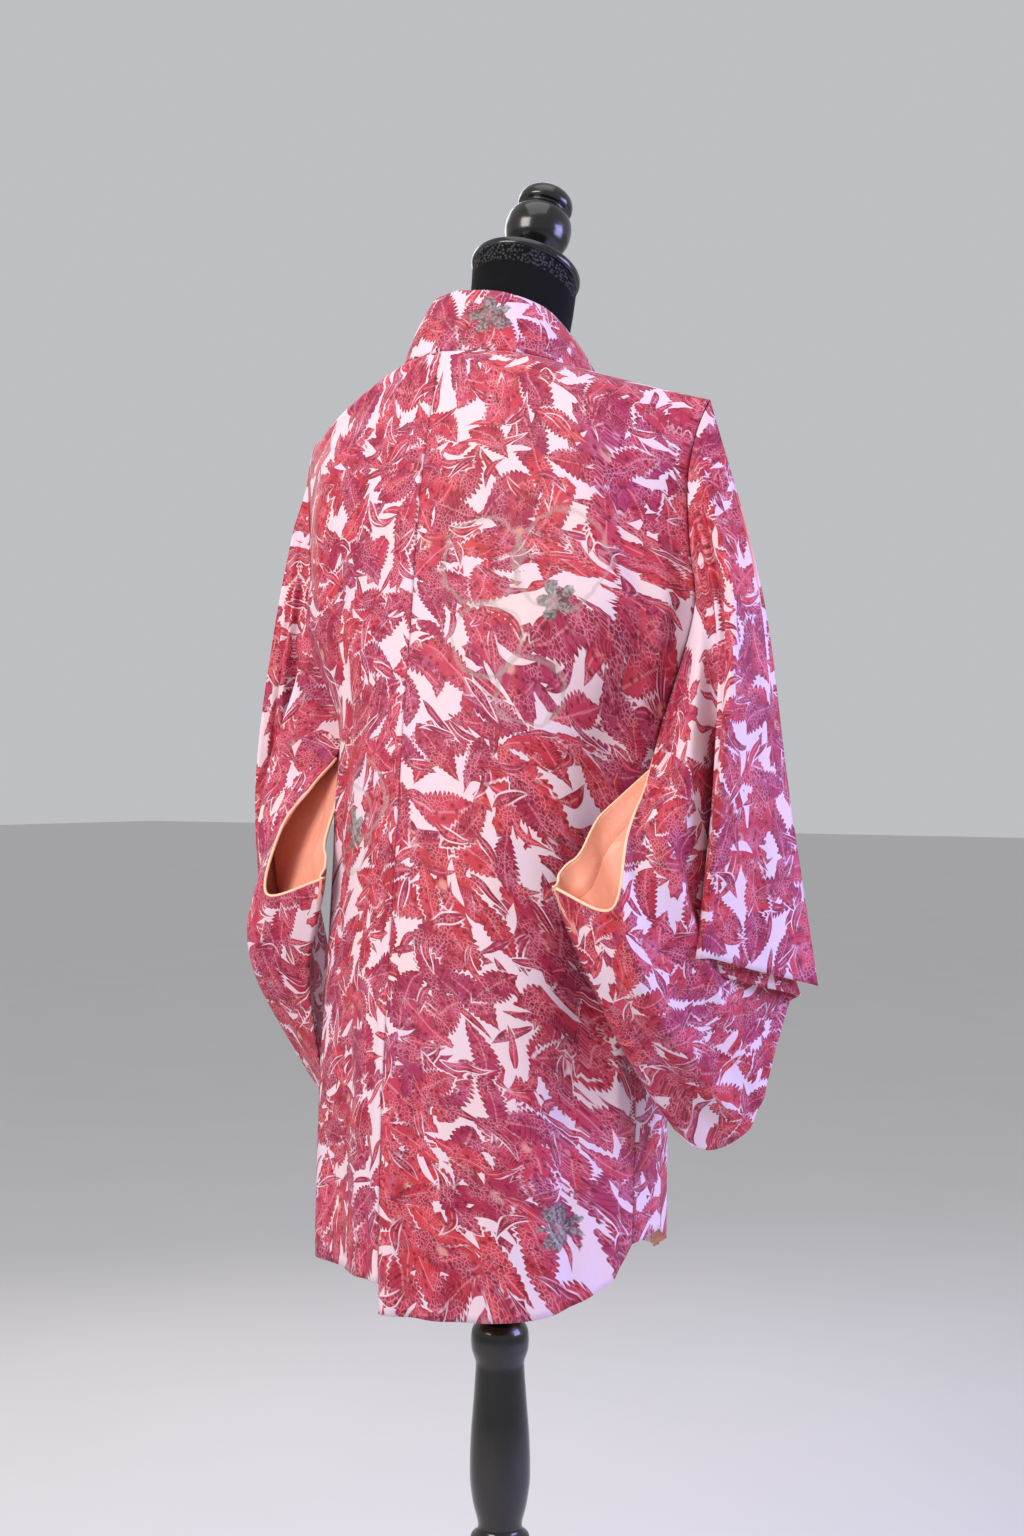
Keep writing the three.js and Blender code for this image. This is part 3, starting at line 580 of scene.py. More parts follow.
def panel_grid(levels, name, rows, columns):
    """Points of a body panel: every level is an arc from its inner edge to the seam edge, swept by
    the level's angle, and the levels are joined by smooth curves; the creases are added outward."""
    behind = levels is BACK_LEVELS
    at = np.linspace(0, len(levels) - 1, rows)
    inner = spline(np.array([level["inner"] for level in levels], float), at / (len(levels) - 1))
    outer = side_seam(levels, name, at)
    sweep = np.radians(column(levels, "sweep", at))[:, None]
    flat = column(levels, "flat", at)[:, None]
    rise = column(levels, "rise", at, 1.0)[:, None]
    if behind:
        flat = flat + BACK_FLAT[name] * (1 - step(inner[:, 2:], 1200, 1300))
    t = np.broadcast_to(np.linspace(0, 1, columns), (rows, columns))
    s = np.sin(sweep * t) / np.sin(sweep) * (1 - flat) + t * flat
    c = (np.cos(sweep * t) - np.cos(sweep)) / (1 - np.cos(sweep)) * (1 - flat) + (1 - t) * flat
    climb = t ** np.maximum(rise, 1)
    grid = np.stack([
        inner[:, :1] + (outer[:, :1] - inner[:, :1]) * s,
        outer[:, 1:2] + (inner[:, 1:2] - outer[:, 1:2]) * c,
        inner[:, 2:] + (outer[:, 2:] - inner[:, 2:]) * climb], axis=-1)
    if behind:
        grid[..., 2] += HEM_LIFT[name] * (1 - t ** 3) * (1 - step(inner[:, 2:], HEM, 800))
    back_half = grid[..., 1] > 0
    facing = np.where(back_half, 1, -1)
    away = np.stack([np.sin(sweep * t), facing * np.cos(sweep * t), 0 * s], axis=-1)
    lift = np.where(back_half, crease_lift(BACK_CREASES[name], t, grid[..., 2]),
                    crease_lift(FRONT_CREASES[name], t, grid[..., 2]))
    return (grid + away * lift[..., None]) * MM


def body_grid(name):
    """The whole strip: back levels, then over the shoulder and down the front."""
    back = panel_grid(BACK_LEVELS, name, BACK_ROWS, PANEL_COLUMNS)
    return np.concatenate([back, panel_grid(FRONT_LEVELS, name, FRONT_ROWS, PANEL_COLUMNS)[1:]])


def gusset_grid(name, columns=16):
    """Side strip: straight lines from the back's side seam to the front's, bowed out a little."""
    at = np.linspace(0, 6, 60)
    last = len(FRONT_LEVELS) - 1
    back = side_seam(BACK_LEVELS, name, at)[:, None] - (0, 0.7, 0)
    front = side_seam(FRONT_LEVELS, name, last - at)[:, None] + (0, 0.7, 0)
    t = np.linspace(0, 1, columns)[None, :, None]
    grid = back * (1 - t) + front * t + np.sin(np.pi * t) * np.array((2.5, 0, 0))
    grid[..., 2] -= 1.5 * step(at, 5, 6)[:, None]
    return grid[:, ::-1] * MM


def collar_grid(cloth):
    """Strip from the seam along the lean, bowed outward, round the neck and down both fronts, where
    it lies on the panel's edge."""
    edge = np.array([level["inner"] for level in FRONT_LEVELS], float) * MM
    lean = unit(np.array([level.get("lean", FLAT_LEAN) for level in FRONT_LEVELS], float))
    rows = np.linspace(0, 1, 150)
    edge, lean = spline(edge, rows), unit(spline(lean, rows))
    round_neck = unit(edge * (1, 1, 0) + (0, 0, 0.02))
    ahead = step(-edge[:, 1:2], 0.045, 0.075)
    away = unit(round_neck * (1 - ahead) + np.array([[0, -1.0, 0]]) * ahead)
    laid = (cloth.collar_wall + cloth.seam) * step(-edge[:, 1], 0.070, 0.105)[:, None, None]
    t = np.linspace(0, 1, 22)[None, :, None]
    reach = cloth.seam + (cloth.collar_width - cloth.seam) * t
    half = edge[:, None] + lean[:, None] * reach + away[:, None] * (laid + 0.0025 * np.sin(np.pi * t))
    other = (half[1:] * (-1, 1, 1))[::-1]
    return np.concatenate([other, half])


# ---------------------------------------------------------------- turned and lofted pieces

def turned_grid(profile, around, refine=5):
    """A profile of (height, radius) run round the Z axis, with extra points on its curves."""
    points = np.array(profile, float)[:, [1, 0]] * MM
    run = [points[:1]]
    for a, b in zip(points[:-1], points[1:]):
        corner = min(a[0], b[0]) == 0 or abs(a[1] - b[1]) < 1e-9
        share = np.array([1.0]) if corner else np.linspace(0, 1, refine + 1)[1:]
        run.append(a + (b - a) * share[:, None])
    line = np.concatenate(run)
    for _ in range(3):  # ease the straight runs into curves
        inside = line[1:-1] * 0.5 + (line[:-2] + line[2:]) * 0.25
        keep = (line[1:-1, 0] > 0) & (line[:-2, 0] > 0) & (line[2:, 0] > 0)
        line[1:-1] = np.where(keep[:, None], inside, line[1:-1])
    angle = np.linspace(0, 2 * np.pi, around, endpoint=False)
    return np.stack([line[:, :1] * np.cos(angle), line[:, :1] * np.sin(angle),
                     np.broadcast_to(line[:, 1:], (len(line), around))], axis=-1)


def closed_ring_mesh(name, grid, material):
    """Rings joined to a tube whose first and last rings are closed by a fan on their middle."""
    n, m = grid.shape[:2]
    i, j = (a.ravel() for a in np.meshgrid(np.arange(n - 1), np.arange(m), indexing="ij"))
    k = (j + 1) % m
    quads = np.stack([i * m + j, i * m + k, (i + 1) * m + k, (i + 1) * m + j], axis=-1)
    mesh = bpy.data.meshes.new(name)
    points = np.concatenate([grid.reshape(-1, 3), grid[:1].mean(axis=1), grid[-1:].mean(axis=1)])
    j = np.arange(m)
    low = np.stack([(j + 1) % m, j, np.full(m, n * m)], axis=-1)
    high = np.stack([(n - 1) * m + j, (n - 1) * m + (j + 1) % m, np.full(m, n * m + 1)], axis=-1)
    mesh.from_pydata(points.tolist(), [], quads.tolist() + low.tolist() + high.tolist())
    mesh.polygons.foreach_set("use_smooth", np.ones(len(mesh.polygons), bool))
    mesh.materials.append(material)
    mesh.validate()
    bm = bmesh.new()
    bm.from_mesh(mesh)
    bmesh.ops.remove_doubles(bm, verts=bm.verts, dist=1e-6)
    bmesh.ops.recalc_face_normals(bm, faces=bm.faces)
    bm.to_mesh(mesh)
    bm.free()
    return link(name, mesh)


def form_grid(around):
    """Ellipses through the form's levels, each tipped forward by its angle."""
    at = np.linspace(0, len(FORM_LEVELS) - 1, 150)
    z, wide, back, front, tip = (smooth_column([row[k] for row in FORM_LEVELS], at) for k in range(5))
    angle = np.linspace(0, 2 * np.pi, around, endpoint=False)[None, :]
    y = (back - front)[:, None] / 2 * np.sin(angle)
    slope = np.tan(np.radians(tip))[:, None]
    return np.stack([wide[:, None] * np.cos(angle), (back + front)[:, None] / 2 + y,
                     z[:, None] + y * slope], axis=-1) * MM


def on_neck(grid):
    """Turns a grid from its own axis to the neck's leaning one."""
    lean = Matrix.Rotation(math.radians(NECK_TILT), 3, "X")
    return grid @ np.array(lean).T + np.array(NECK_TOP)


def tube_grid(path, radius, around=10):
    """A circle carried along a path, on a frame from the path's tangent and the up direction."""
    tangent = unit(np.gradient(path, axis=0))
    side = unit(np.cross(tangent, (0.21, 0.13, 0.97)))
    up = np.cross(side, tangent)
    angle = np.linspace(0, 2 * np.pi, around, endpoint=False)[None, :, None]
    return path[:, None] + radius * (np.cos(angle) * side[:, None] + np.sin(angle) * up[:, None])


# ---------------------------------------------------------------- node helpers

TURN, HALF_TURN = 6.2832, 3.1416  # in radians


class Weaver:
    """Short calls for making and joining shader nodes."""

    def __init__(self, tree):
        self.tree = tree

    def node(self, kind, inputs=None, **settings):
        made = self.tree.nodes.new(kind)
        for key, value in settings.items():
            setattr(made, key, value)
        self.feed(made, inputs or {})
        return made

    def feed(self, node, inputs):
        """Joins or sets each input, given by name or number."""
        for key, value in inputs.items():
            socket = node.inputs[key]
            if isinstance(value, bpy.types.NodeSocket):
                self.tree.links.new(value, socket)
            elif socket.type == "RGBA":
                socket.default_value = (*value, 1.0)
            else:
                socket.default_value = value

    def math(self, operation, *values):
        return self.node("ShaderNodeMath", dict(enumerate(values)), operation=operation).outputs[0]

    def vector(self, operation, *values, out=0):
        made = self.node("ShaderNodeVectorMath", dict(enumerate(values)), operation=operation)
        return made.outputs[out]

    def scaled(self, vector, factor):
        return self.node("ShaderNodeVectorMath", {0: vector, 3: factor}, operation="SCALE").outputs[0]

    def length(self, vector):
        return self.vector("LENGTH", vector, out=1)

    def split(self, vector):
        return self.node("ShaderNodeSeparateXYZ", {0: vector}).outputs

    def times(self, first, *others):
        for other in others:
            first = self.math("MULTIPLY", first, other)
        return first

    def plus(self, a, b):
        return self.math("ADD", a, b)

    def minus(self, a, b):
        return self.math("SUBTRACT", a, b)

    def rest(self, a):
        """One less the value."""
        return self.minus(1.0, a)

    def wave(self, operation, angle):
        """Size of the sine or cosine."""
        return self.math("ABSOLUTE", self.math(operation, angle))

    def mix(self, share, a, b):
        return self.node("ShaderNodeMix", {0: share, 6: a, 7: b}, data_type="RGBA").outputs[2]

    def noise(self, at, scale, detail=2.0, rough=0.5, out=0):
        return self.node("ShaderNodeTexNoise", {"Vector": at, "Scale": scale, "Detail": detail,
                                                "Roughness": rough}).outputs[out]

    def band(self, value, low, high):
        """0 at low, 1 at high, straight between."""
        return self.node("ShaderNodeMapRange", {0: value, 1: low, 2: high, 3: 0.0, 4: 1.0}).outputs[0]

    def cells(self, kind, cloth, **sizes):
        """Outputs of that kind of layer, laid on the cloth with these sizes."""
        made = self.node("ShaderNodeGroup", {"Cloth": cloth, **sizes}, node_tree=cell_group(kind))
        return made.outputs

    def bump(self, shader, height, strength, distance):
        inputs = {"Height": height, "Strength": strength, "Distance": distance}
        self.feed(shader, {"Normal": self.node("ShaderNodeBump", inputs).outputs[0]})

    def place(self, kind):
        """Object or UV coordinates of the point."""
        return self.node("ShaderNodeTexCoord").outputs[kind]


def material(name):
    """Decorator: a function that fills a shader becomes one that gives the material of that name,
    made the first time it is asked for."""
    def wrap(fill):
        def give(settings=None):
            if name not in bpy.data.materials:
                made = bpy.data.materials.new(name)
                made.use_nodes = True
                fill(Weaver(made.node_tree), made.node_tree.nodes["Principled BSDF"], settings)
            return bpy.data.materials[name]
        return give
    return wrap


# ---------------------------------------------------------------- layers of the print

def turned(w, local, chance):
    """Sideways and upward place inside the cell, turned by the cell's first chance."""
    spun = w.node("ShaderNodeVectorRotate", {"Vector": local, "Angle": w.times(chance[0], TURN)},
                  rotation_type="Z_AXIS")
    return w.split(spun.outputs[0])[:2]


def leaf_cell(w, size, local, chance):
    """One leaf, turned at random and bent. Its edge distance is half-width times (1 - x^2) with round
    lobes between sharp notches, less the distance from the midrib."""
    x, y = turned(w, local, chance)
    y = w.minus(y, w.times(x, x, w.times(w.minus(chance[1], 0.5), size["Bend"])))
    long = w.math("DIVIDE", x, size["Length"])
    off = w.math("ABSOLUTE", y)
    lobes, veins = (w.math("FRACT", w.minus(w.times(long, size["Teeth"]), w.times(off, slant)))
                    for slant in (3.0, 7.0))
    notch = w.rest(w.math("SINE", w.times(lobes, HALF_TURN)))
    half = w.times(w.rest(w.times(long, long)), w.plus(1.0, w.times(long, 0.35)), size["Width"],
                   w.rest(w.times(notch, size["Bite"])))
    return w.minus(half, off), off, w.math("ABSOLUTE", w.minus(veins, 0.5)), chance[2]


def blossom_cell(w, size, local, chance):
    """One round flower, missing from some cells. Its edge distance is a radius that swells once for
    each petal, with a fine fringe, less the distance from the middle."""
    x, y, _ = w.split(local)
    angle = w.plus(w.math("ARCTAN2", y, x), w.times(chance[0], TURN))
    far = w.length(local)
    swell = w.wave("COSINE", w.times(angle, w.times(size["Petals"], 0.5)))
    fringe = w.times(w.wave("SINE", w.times(angle, 19.0)), 0.07)
    reach = w.times(size["Radius"], w.minus(w.plus(0.62, w.times(swell, 0.38)), fringe))
    wanted = w.math("GREATER_THAN", chance[1], 0.22)
    return w.minus(w.times(reach, wanted), far), w.wave("SINE", w.times(angle, 17.0)), far, chance[2]


def stroke_cell(w, size, local, chance):
    """A patch of short parallel strokes in some cells, turned at random: a stripe wave across the
    patch, which ends at its round edge."""
    x, y = turned(w, local, chance)
    bent = w.plus(y, w.times(x, x, 0.8))
    line = w.band(w.wave("SINE", w.times(bent, w.times(size["Stripes"], HALF_TURN))), 0.55, 0.85)
    inside = w.band(w.length(local), 0.46, 0.38)
    return (w.times(line, inside, w.math("LESS_THAN", chance[1], size["Share"])),)


# Kinds of layer: what draws a cell, how scattered the cells are, the sizes it takes, what it gives.
CELL_KINDS = {
    "leaf": (leaf_cell, 0.55, ("Length", "Width", "Teeth", "Bend", "Bite"),
             ("Inside", "Rib", "Veins", "Tint")),
    "blossom": (blossom_cell, 0.7, ("Radius", "Petals"), ("Inside", "Petal lines", "Ring", "Tint")),
    "stroke": (stroke_cell, 0.9, ("Stripes", "Share"), ("Ink",)),
}


def cell_group(kind):
    """Node group of that kind on a scattered grid: its cells are drawn from the place inside the cell
    and the cell's three chances. It is made once and found by its name after that."""
    draw, scatter, sizes, results = CELL_KINDS[kind]
    name = kind.capitalize() + " layer"
    if name in bpy.data.node_groups:
        return bpy.data.node_groups[name]
    group = bpy.data.node_groups.new(name, "ShaderNodeTree")
    socket = group.interface.new_socket
    socket("Cloth", in_out="INPUT", socket_type="NodeSocketVector")
    for key in ("Cells", *sizes):
        socket(key, in_out="INPUT", socket_type="NodeSocketFloat")
    for key in results:
        socket(key, in_out="OUTPUT", socket_type="NodeSocketFloat")
    w = Weaver(group)
    given = group.nodes.new("NodeGroupInput").outputs
    place = w.scaled(given["Cloth"], given["Cells"])
    cell = w.node("ShaderNodeTexVoronoi", {"Vector": place, "Scale": 1.0, "Randomness": scatter},
                  voronoi_dimensions="2D", feature="F1").outputs
    local = w.vector("SUBTRACT", place, cell["Position"])
    chance = w.node("ShaderNodeSeparateColor", {0: cell["Color"]}).outputs
    w.feed(group.nodes.new("NodeGroupOutput"), dict(zip(results, draw(w, given, local, chance))))
    return group


# Silver-grey blossoms and faint rings laid over the print: place in metres, then radius.
SILVER_BLOSSOMS = (
    ((-0.0365, 0.066, 1.4675), 0.019), ((-0.129, 0.104, 1.217), 0.018),
    ((0.066, 0.123, 1.027), 0.019), ((-0.135, 0.106, 0.706), 0.021),
    ((-0.075, -0.140, 0.93), 0.018), ((0.085, -0.130, 1.16), 0.017), ((0.262, 0.02, 1.07), 0.016),
)
FAINT_RINGS = (
    ((-0.064, 0.119, 1.252), 0.036), ((-0.073, 0.124, 1.185), 0.030),
    ((-0.131, 0.099, 1.250), 0.040), ((0.049, 0.130, 1.053), 0.032), ((0.066, 0.123, 1.027), 0.036),
    ((-0.109, 0.112, 1.144), 0.028),
)

# Layers of the print, the first one lowest: kind, cell in units of the leaf pitch, shift of the layer
# in metres, sizes in units of the cell. A slit is a leaf left undyed.
PRINT_LAYERS = (
    ("leaf", 1.45, (0.0, 0.0, 0.0), dict(Length=0.49, Width=0.250, Teeth=8.0, Bend=0.9, Bite=0.20)),
    ("leaf", 1.25, (3.1, 1.7, 0.0), dict(Length=0.49, Width=0.235, Teeth=7.5, Bend=1.2, Bite=0.22)),
    ("blossom", 1.60, (7.7, 4.9, 0.0), dict(Radius=0.47, Petals=9.0)),
    ("slit", 0.80, (9.3, 3.3, 0.0), dict(Length=0.46, Width=0.095, Teeth=1.0, Bend=2.0, Bite=0.0)),
    ("leaf", 0.85, (11.3, 6.1, 0.0), dict(Length=0.47, Width=0.085, Teeth=1.0, Bend=2.2, Bite=0.0)),
    ("leaf", 1.20, (5.9, 12.4, 0.0), dict(Length=0.49, Width=0.225, Teeth=7.5, Bend=1.2, Bite=0.22)),
    ("leaf", 1.02, (8.6, 10.1, 0.0), dict(Length=0.49, Width=0.215, Teeth=6.5, Bend=1.4, Bite=0.24)),
    ("leaf", 0.70, (2.3, 9.2, 0.0), dict(Length=0.48, Width=0.090, Teeth=1.0, Bend=1.8, Bite=0.0)),
)
# Further colours of the print, and the paler silver, which is a painted sheen
LILAC_GROUND, PALE_RIB, FLOWER_HEART = (0.75, 0.59, 0.72), (0.80, 0.30, 0.36), (0.80, 0.42, 0.34)
COOL_PATCH, WARM_CAST, PALE_LACE = (0.56, 0.17, 0.32), (0.62, 0.060, 0.050), (0.82, 0.36, 0.46)
SILVER, SILVER_SHEEN, SILVER_FOLD = (0.075, 0.072, 0.075), (0.30, 0.32, 0.30), (0.030, 0.022, 0.026)
SILVER_HEART, RING_GREY = (0.42, 0.20, 0.22), (0.40, 0.34, 0.32)


def painted(w, cloth, kind, made, cool):
    """Colour inside one leaf or flower: a tint of coral, crimson or mauve with a pale rib and dark
    veins, or dark petal lines round a warm heart."""
    tint = made["Tint"]
    warm = w.mix(w.band(tint, 0.25, 0.75), cloth.coral, cloth.crimson)
    paint = w.mix(w.times(w.plus(cool, w.band(tint, 0.5, 1.0)), 0.40), warm, cloth.mauve)
    if kind == "leaf":
        rib = w.rest(w.band(made["Rib"], 0.008, 0.018))
        vein = w.rest(w.band(made["Veins"], 0.05, 0.15))
        paint = w.mix(w.times(rib, 0.45), paint, PALE_RIB)
        return w.mix(w.times(vein, w.band(tint, 0.30, 0.45), 0.60), paint, cloth.line)
    petal = w.rest(w.band(made["Petal lines"], 0.06, 0.30))
    heart = w.rest(w.band(made["Ring"], 0.04, 0.07))
    return w.mix(w.times(heart, 0.6), w.mix(w.times(petal, 0.60), paint, cloth.line), FLOWER_HEART)


def print_colours(w, cloth, uv):
    """Colour of the dyed silk: every layer lays its leaves or flowers over the last, each with a dark
    rim and in places a thin undyed line round it. Cool patches, a warm cast, strokes, fine cells and
    dots are drawn on the dyed parts."""
    jitter = w.scaled(w.vector("SUBTRACT", w.noise(uv, 17.0, 2.0, out=1), (0.5, 0.5, 0.5)), 0.020)
    cut = w.vector("ADD", uv, jitter)
    blotch = w.noise(uv, 42.0, 4.0, 0.62)
    cool = w.band(w.noise(uv, 6.5, 2.0), 0.42, 0.68)
    clear = w.band(w.noise(uv, 33.0, 2.0), 0.49, 0.60)
    ground = w.mix(w.band(w.noise(uv, 16.0, 3.0), 0.35, 0.65), cloth.ground, LILAC_GROUND)
    colour, mass = ground, 0.0
    for kind, cell, shift, sizes in PRINT_LAYERS:
        made = w.cells("blossom" if kind == "blossom" else "leaf", w.vector("ADD", cut, shift),
                       Cells=1.0 / (cloth.leaf_pitch * cell), **sizes)
        inside = made["Inside"]
        body = w.band(inside, 0.0, 0.012)
        if kind == "slit":
            colour, mass = w.mix(body, colour, ground), w.times(mass, w.rest(body))
            continue
        rim = w.times(body, w.rest(w.band(inside, 0.014, 0.040)))
        paint = w.mix(w.times(rim, 0.60), painted(w, cloth, kind, made, cool), cloth.line)
        halo = w.times(w.band(inside, -0.034, -0.018), clear)
        colour = w.mix(body, w.mix(halo, colour, ground), paint)
        mass = w.math("MAXIMUM", w.times(mass, w.rest(halo)), body)

    edges, spots = (
        w.node("ShaderNodeTexVoronoi", {"Vector": at, "Scale": scale}, voronoi_dimensions="2D",
               feature=feature).outputs["Distance"]
        for at, scale, feature in ((uv, 330.0, "DISTANCE_TO_EDGE"), (cut, 110.0, "F1")))
    ink = w.cells("stroke", cut, Cells=62.0, Stripes=8.0, Share=0.45)["Ink"]
    lace = w.times(w.rest(w.band(edges, 0.06, 0.16)), w.band(w.noise(uv, 55.0, 2.0), 0.44, 0.56))
    warmed = w.band(w.noise(w.vector("ADD", uv, (4.0, 4.0, 0.0)), 30.0, 3.0), 0.54, 0.70)
    dyed = colour
    for mask, share, tone in (
            (w.band(blotch, 0.56, 0.72), 0.50, COOL_PATCH), (warmed, 0.5, WARM_CAST),
            (ink, 0.55, cloth.line), (lace, 0.42, PALE_LACE),
            (w.rest(w.band(spots, 0.12, 0.22)), 0.70, cloth.line)):
        dyed = w.mix(w.times(mask, share), dyed, tone)
    return w.mix(mass, colour, dyed), blotch


@material("Printed silk")
def printed_silk(w, shader, cloth):
    """Silk crepe with the print, silver-grey blossoms, faint resist rings, a crepe bump and a soft
    sheen."""
    uv, solid = w.place("UV"), w.place("Object")
    colour, blotch = print_colours(w, cloth, uv)
    wobble = w.noise(solid, 110.0, 2.0)
    grain = w.band(w.noise(solid, 380.0, 2.0), 0.42, 0.62)
    for centre, radius in SILVER_BLOSSOMS:
        away = w.vector("SUBTRACT", solid, centre)
        x, _, z = w.split(away)
        petals = w.wave("COSINE", w.times(w.math("ARCTAN2", z, x), 2.5))
        reach = w.times(w.plus(0.45, w.times(petals, 0.60)), radius)
        far = w.plus(w.length(away), w.times(w.minus(wobble, 0.5), radius * 0.9))
        mask = w.rest(w.band(w.minus(far, reach), -0.0015, 0.0005))
        fold = w.times(w.band(petals, 0.75, 0.25), 0.8)
        # the paler grains in the silver are a painted sheen
        silver = w.mix(fold, w.mix(grain, SILVER, SILVER_SHEEN), SILVER_FOLD)
        heart = w.band(far, radius * 0.30, radius * 0.18)
        silver = w.mix(w.times(heart, 0.6), silver, SILVER_HEART)
        colour = w.mix(w.times(mask, 0.80), colour, silver)
    drift = w.times(w.minus(w.noise(solid, 45.0, 2.0), 0.5), 0.020)
    for centre, radius in FAINT_RINGS:
        far = w.length(w.vector("SUBTRACT", solid, centre))
        off = w.math("ABSOLUTE", w.minus(w.plus(far, drift), radius))
        mask = w.rest(w.band(off, 0.001, 0.0028))
        colour = w.mix(w.times(mask, 0.42), colour, RING_GREY)
    w.feed(shader, {"Base Color": colour, "Roughness": w.plus(0.46, w.times(blotch, 0.14)),
                    "Specular IOR Level": 0.28, "Sheen Weight": 0.04, "Sheen Roughness": 0.4})
    crepe = w.plus(w.noise(uv, 2600.0, 2.0), w.times(w.noise(uv, 90.0, 3.0), 2.2))
    w.bump(shader, crepe, 0.25, 0.0008)


@material("Lining silk")
def lining_silk(w, shader, cloth):
    """Peach lining: soft mottling, a woven flower that shows as a faint change of gloss and colour,
    and fine creases."""
    uv = w.place("UV")
    made = w.cells("blossom", uv, Cells=22.0, Radius=0.48, Petals=12.0)
    flower = w.times(w.band(made["Inside"], 0.0, 0.03), w.band(made["Petal lines"], 0.15, 0.5))
    colour = w.mix(w.noise(uv, 30.0, 3.0), cloth.peach, (0.86, 0.36, 0.25))
    w.feed(shader, {"Base Color": w.mix(w.times(flower, 0.4), colour, (0.90, 0.43, 0.32)),
                    "Roughness": w.minus(0.5, w.times(flower, 0.12)), "Sheen Weight": 0.3})
    w.bump(shader, w.plus(w.noise(uv, 60.0, 3.0), w.times(flower, 0.15)), 0.3, 0.001)


@material("Rolled edge silk")
def piping_silk(w, shader, cloth):
    """Rolled edge: the lining silk in a paler turn, with fine cross wrinkles."""
    wrinkle = w.noise(w.place("Object"), 700.0, 2.0)
    w.feed(shader, {"Base Color": w.mix(wrinkle, cloth.piping, (0.95, 0.66, 0.48)),
                    "Roughness": 0.45})
    w.bump(shader, wrinkle, 0.35, 0.0006)


@material("Black velvet")
def black_velvet(w, shader, form):
    """Velvet: near black with pile noise and rubbed paler patches, and a knotted braid round the top
    of the neck."""
    solid = w.place("Object")
    rub = w.noise(solid, 26.0, 4.0, 0.6)
    along = w.vector("DOT_PRODUCT", w.vector("SUBTRACT", solid, NECK_TOP), NECK_AXIS, out=1)
    band = w.band(along, -0.0145, -0.0135)
    knots = w.node("ShaderNodeTexVoronoi", {"Vector": solid, "Scale": 380.0}).outputs[0]
    pile = w.mix(rub, form.velvet, (0.008, 0.008, 0.010))
    braid = w.mix(w.band(knots, 0.2, 0.6), (0.060, 0.060, 0.068), (0.004, 0.004, 0.005))
    w.feed(shader, {"Base Color": w.mix(band, pile, braid), "Roughness": 0.95, "Sheen Weight": 0.05,
                    "Specular IOR Level": 0.15, "Sheen Roughness": 0.35})
    height = w.plus(w.noise(solid, 2200.0, 2.0), w.times(rub, 0.8))
    w.bump(shader, w.minus(height, w.times(knots, band, 2.5)), 0.4, 0.0008)


@material("Black lacquered wood")
def black_wood(w, shader, form):
    """Lacquered wood: long pores that show only in the gloss, with fine dust."""
    solid = w.place("Object")
    pores = w.noise(w.vector("MULTIPLY", solid, (260.0, 260.0, 9.0)), 1.0, 3.0)
    dust = w.band(w.noise(solid, 60.0, 4.0, 0.65), 0.4, 0.8)
    w.feed(shader, {"Base Color": w.mix(pores, form.wood, (0.006, 0.005, 0.005)), "Coat Weight": 0.35,
                    "Roughness": w.plus(0.16, w.times(dust, 0.2)), "Coat Roughness": 0.12})
    w.bump(shader, pores, 0.12, 0.0004)


@material("Pale floor")
def pale_floor(w, shader, _):
    """Matt pale grey with a faint mottling."""
    grain = w.noise(w.place("Object"), 3.0, 6.0)
    w.feed(shader, {"Base Color": w.mix(grain, (0.66, 0.65, 0.645), (0.70, 0.69, 0.685)),
                    "Roughness": 0.8})


# ---------------------------------------------------------------- operators

class HAORI_OT_body(Operator):
    """Cut and hang the two body lengths and the side gussets."""

    bl_idname = "haori.body"
    bl_label = "Body and gussets"

    def execute(self, context):
        cloth = context.scene.haori_cloth
        face, back = printed_silk(cloth), lining_silk(cloth)
        for name, hang in SLEEVE_SIDES.items():
            side = hang["side"]
            grid = mirror(body_grid(name)[:, ::-1], side)
            middle = -1 if side > 0 else 0
            grid[:BACK_ROWS, middle, 0] = side * cloth.seam / 2
            sew("body_" + name, grid, cloth.wall, face, back, "form_torso")
            grid = mirror(gusset_grid(name), side)
            sew("gusset_" + name, grid, cloth.wall, face, back, "body_" + name)
        return {"FINISHED"}


class HAORI_OT_sleeves(Operator):
    """Hang the two sleeves with their pleat and pouch, their lining strips and rolled edges."""

    bl_idname = "haori.sleeves"
    bl_label = "Sleeves"

    def execute(self, context):
        cloth = context.scene.haori_cloth
        face, back = printed_silk(cloth), lining_silk(cloth)
        for name, hang in SLEEVE_SIDES.items():
            side = hang["side"]
            grid = sleeve_grid(cloth, name)
            sew("sleeve_" + name, mirror(grid, side), cloth.wall, face, back, "body_" + name,
                ring=True)
            # the lining lies just inside the wall, and its far edge goes into it
            sink = 0.0004 - 0.0015 * step(np.arange(len(grid)), 9, 12)
            inside = grid - grid_normals(grid, ring=True) * (cloth.wall + sink)[:, None, None]
            strip = np.roll(inside, OPEN_COLUMNS // 2, axis=1)[:LINING_ROWS, :OPEN_COLUMNS]
            sew("sleeve_lining_" + name, mirror(strip, side), LINING_WALL, back, back,
                "sleeve_" + name, slot="lining")
            outward = unit(strip[0] - strip[3])
            roll = tube_grid(strip[0] + outward * LINING_WALL, ROLL_RADIUS) * (side, 1, 1)
            seat(closed_ring_mesh("haori_sleeve_edge_" + name, roll, piping_silk(cloth)))
        return {"FINISHED"}


class HAORI_OT_collar(Operator):
    """Fold and set the collar."""

    bl_idname = "haori.collar"
    bl_label = "Collar"

    def execute(self, context):
        cloth = context.scene.haori_cloth
        face = printed_silk(cloth)
        sew("collar", collar_grid(cloth), cloth.collar_wall, face, face, "body_right", "body_left",
            held="folded")
        return {"FINISHED"}


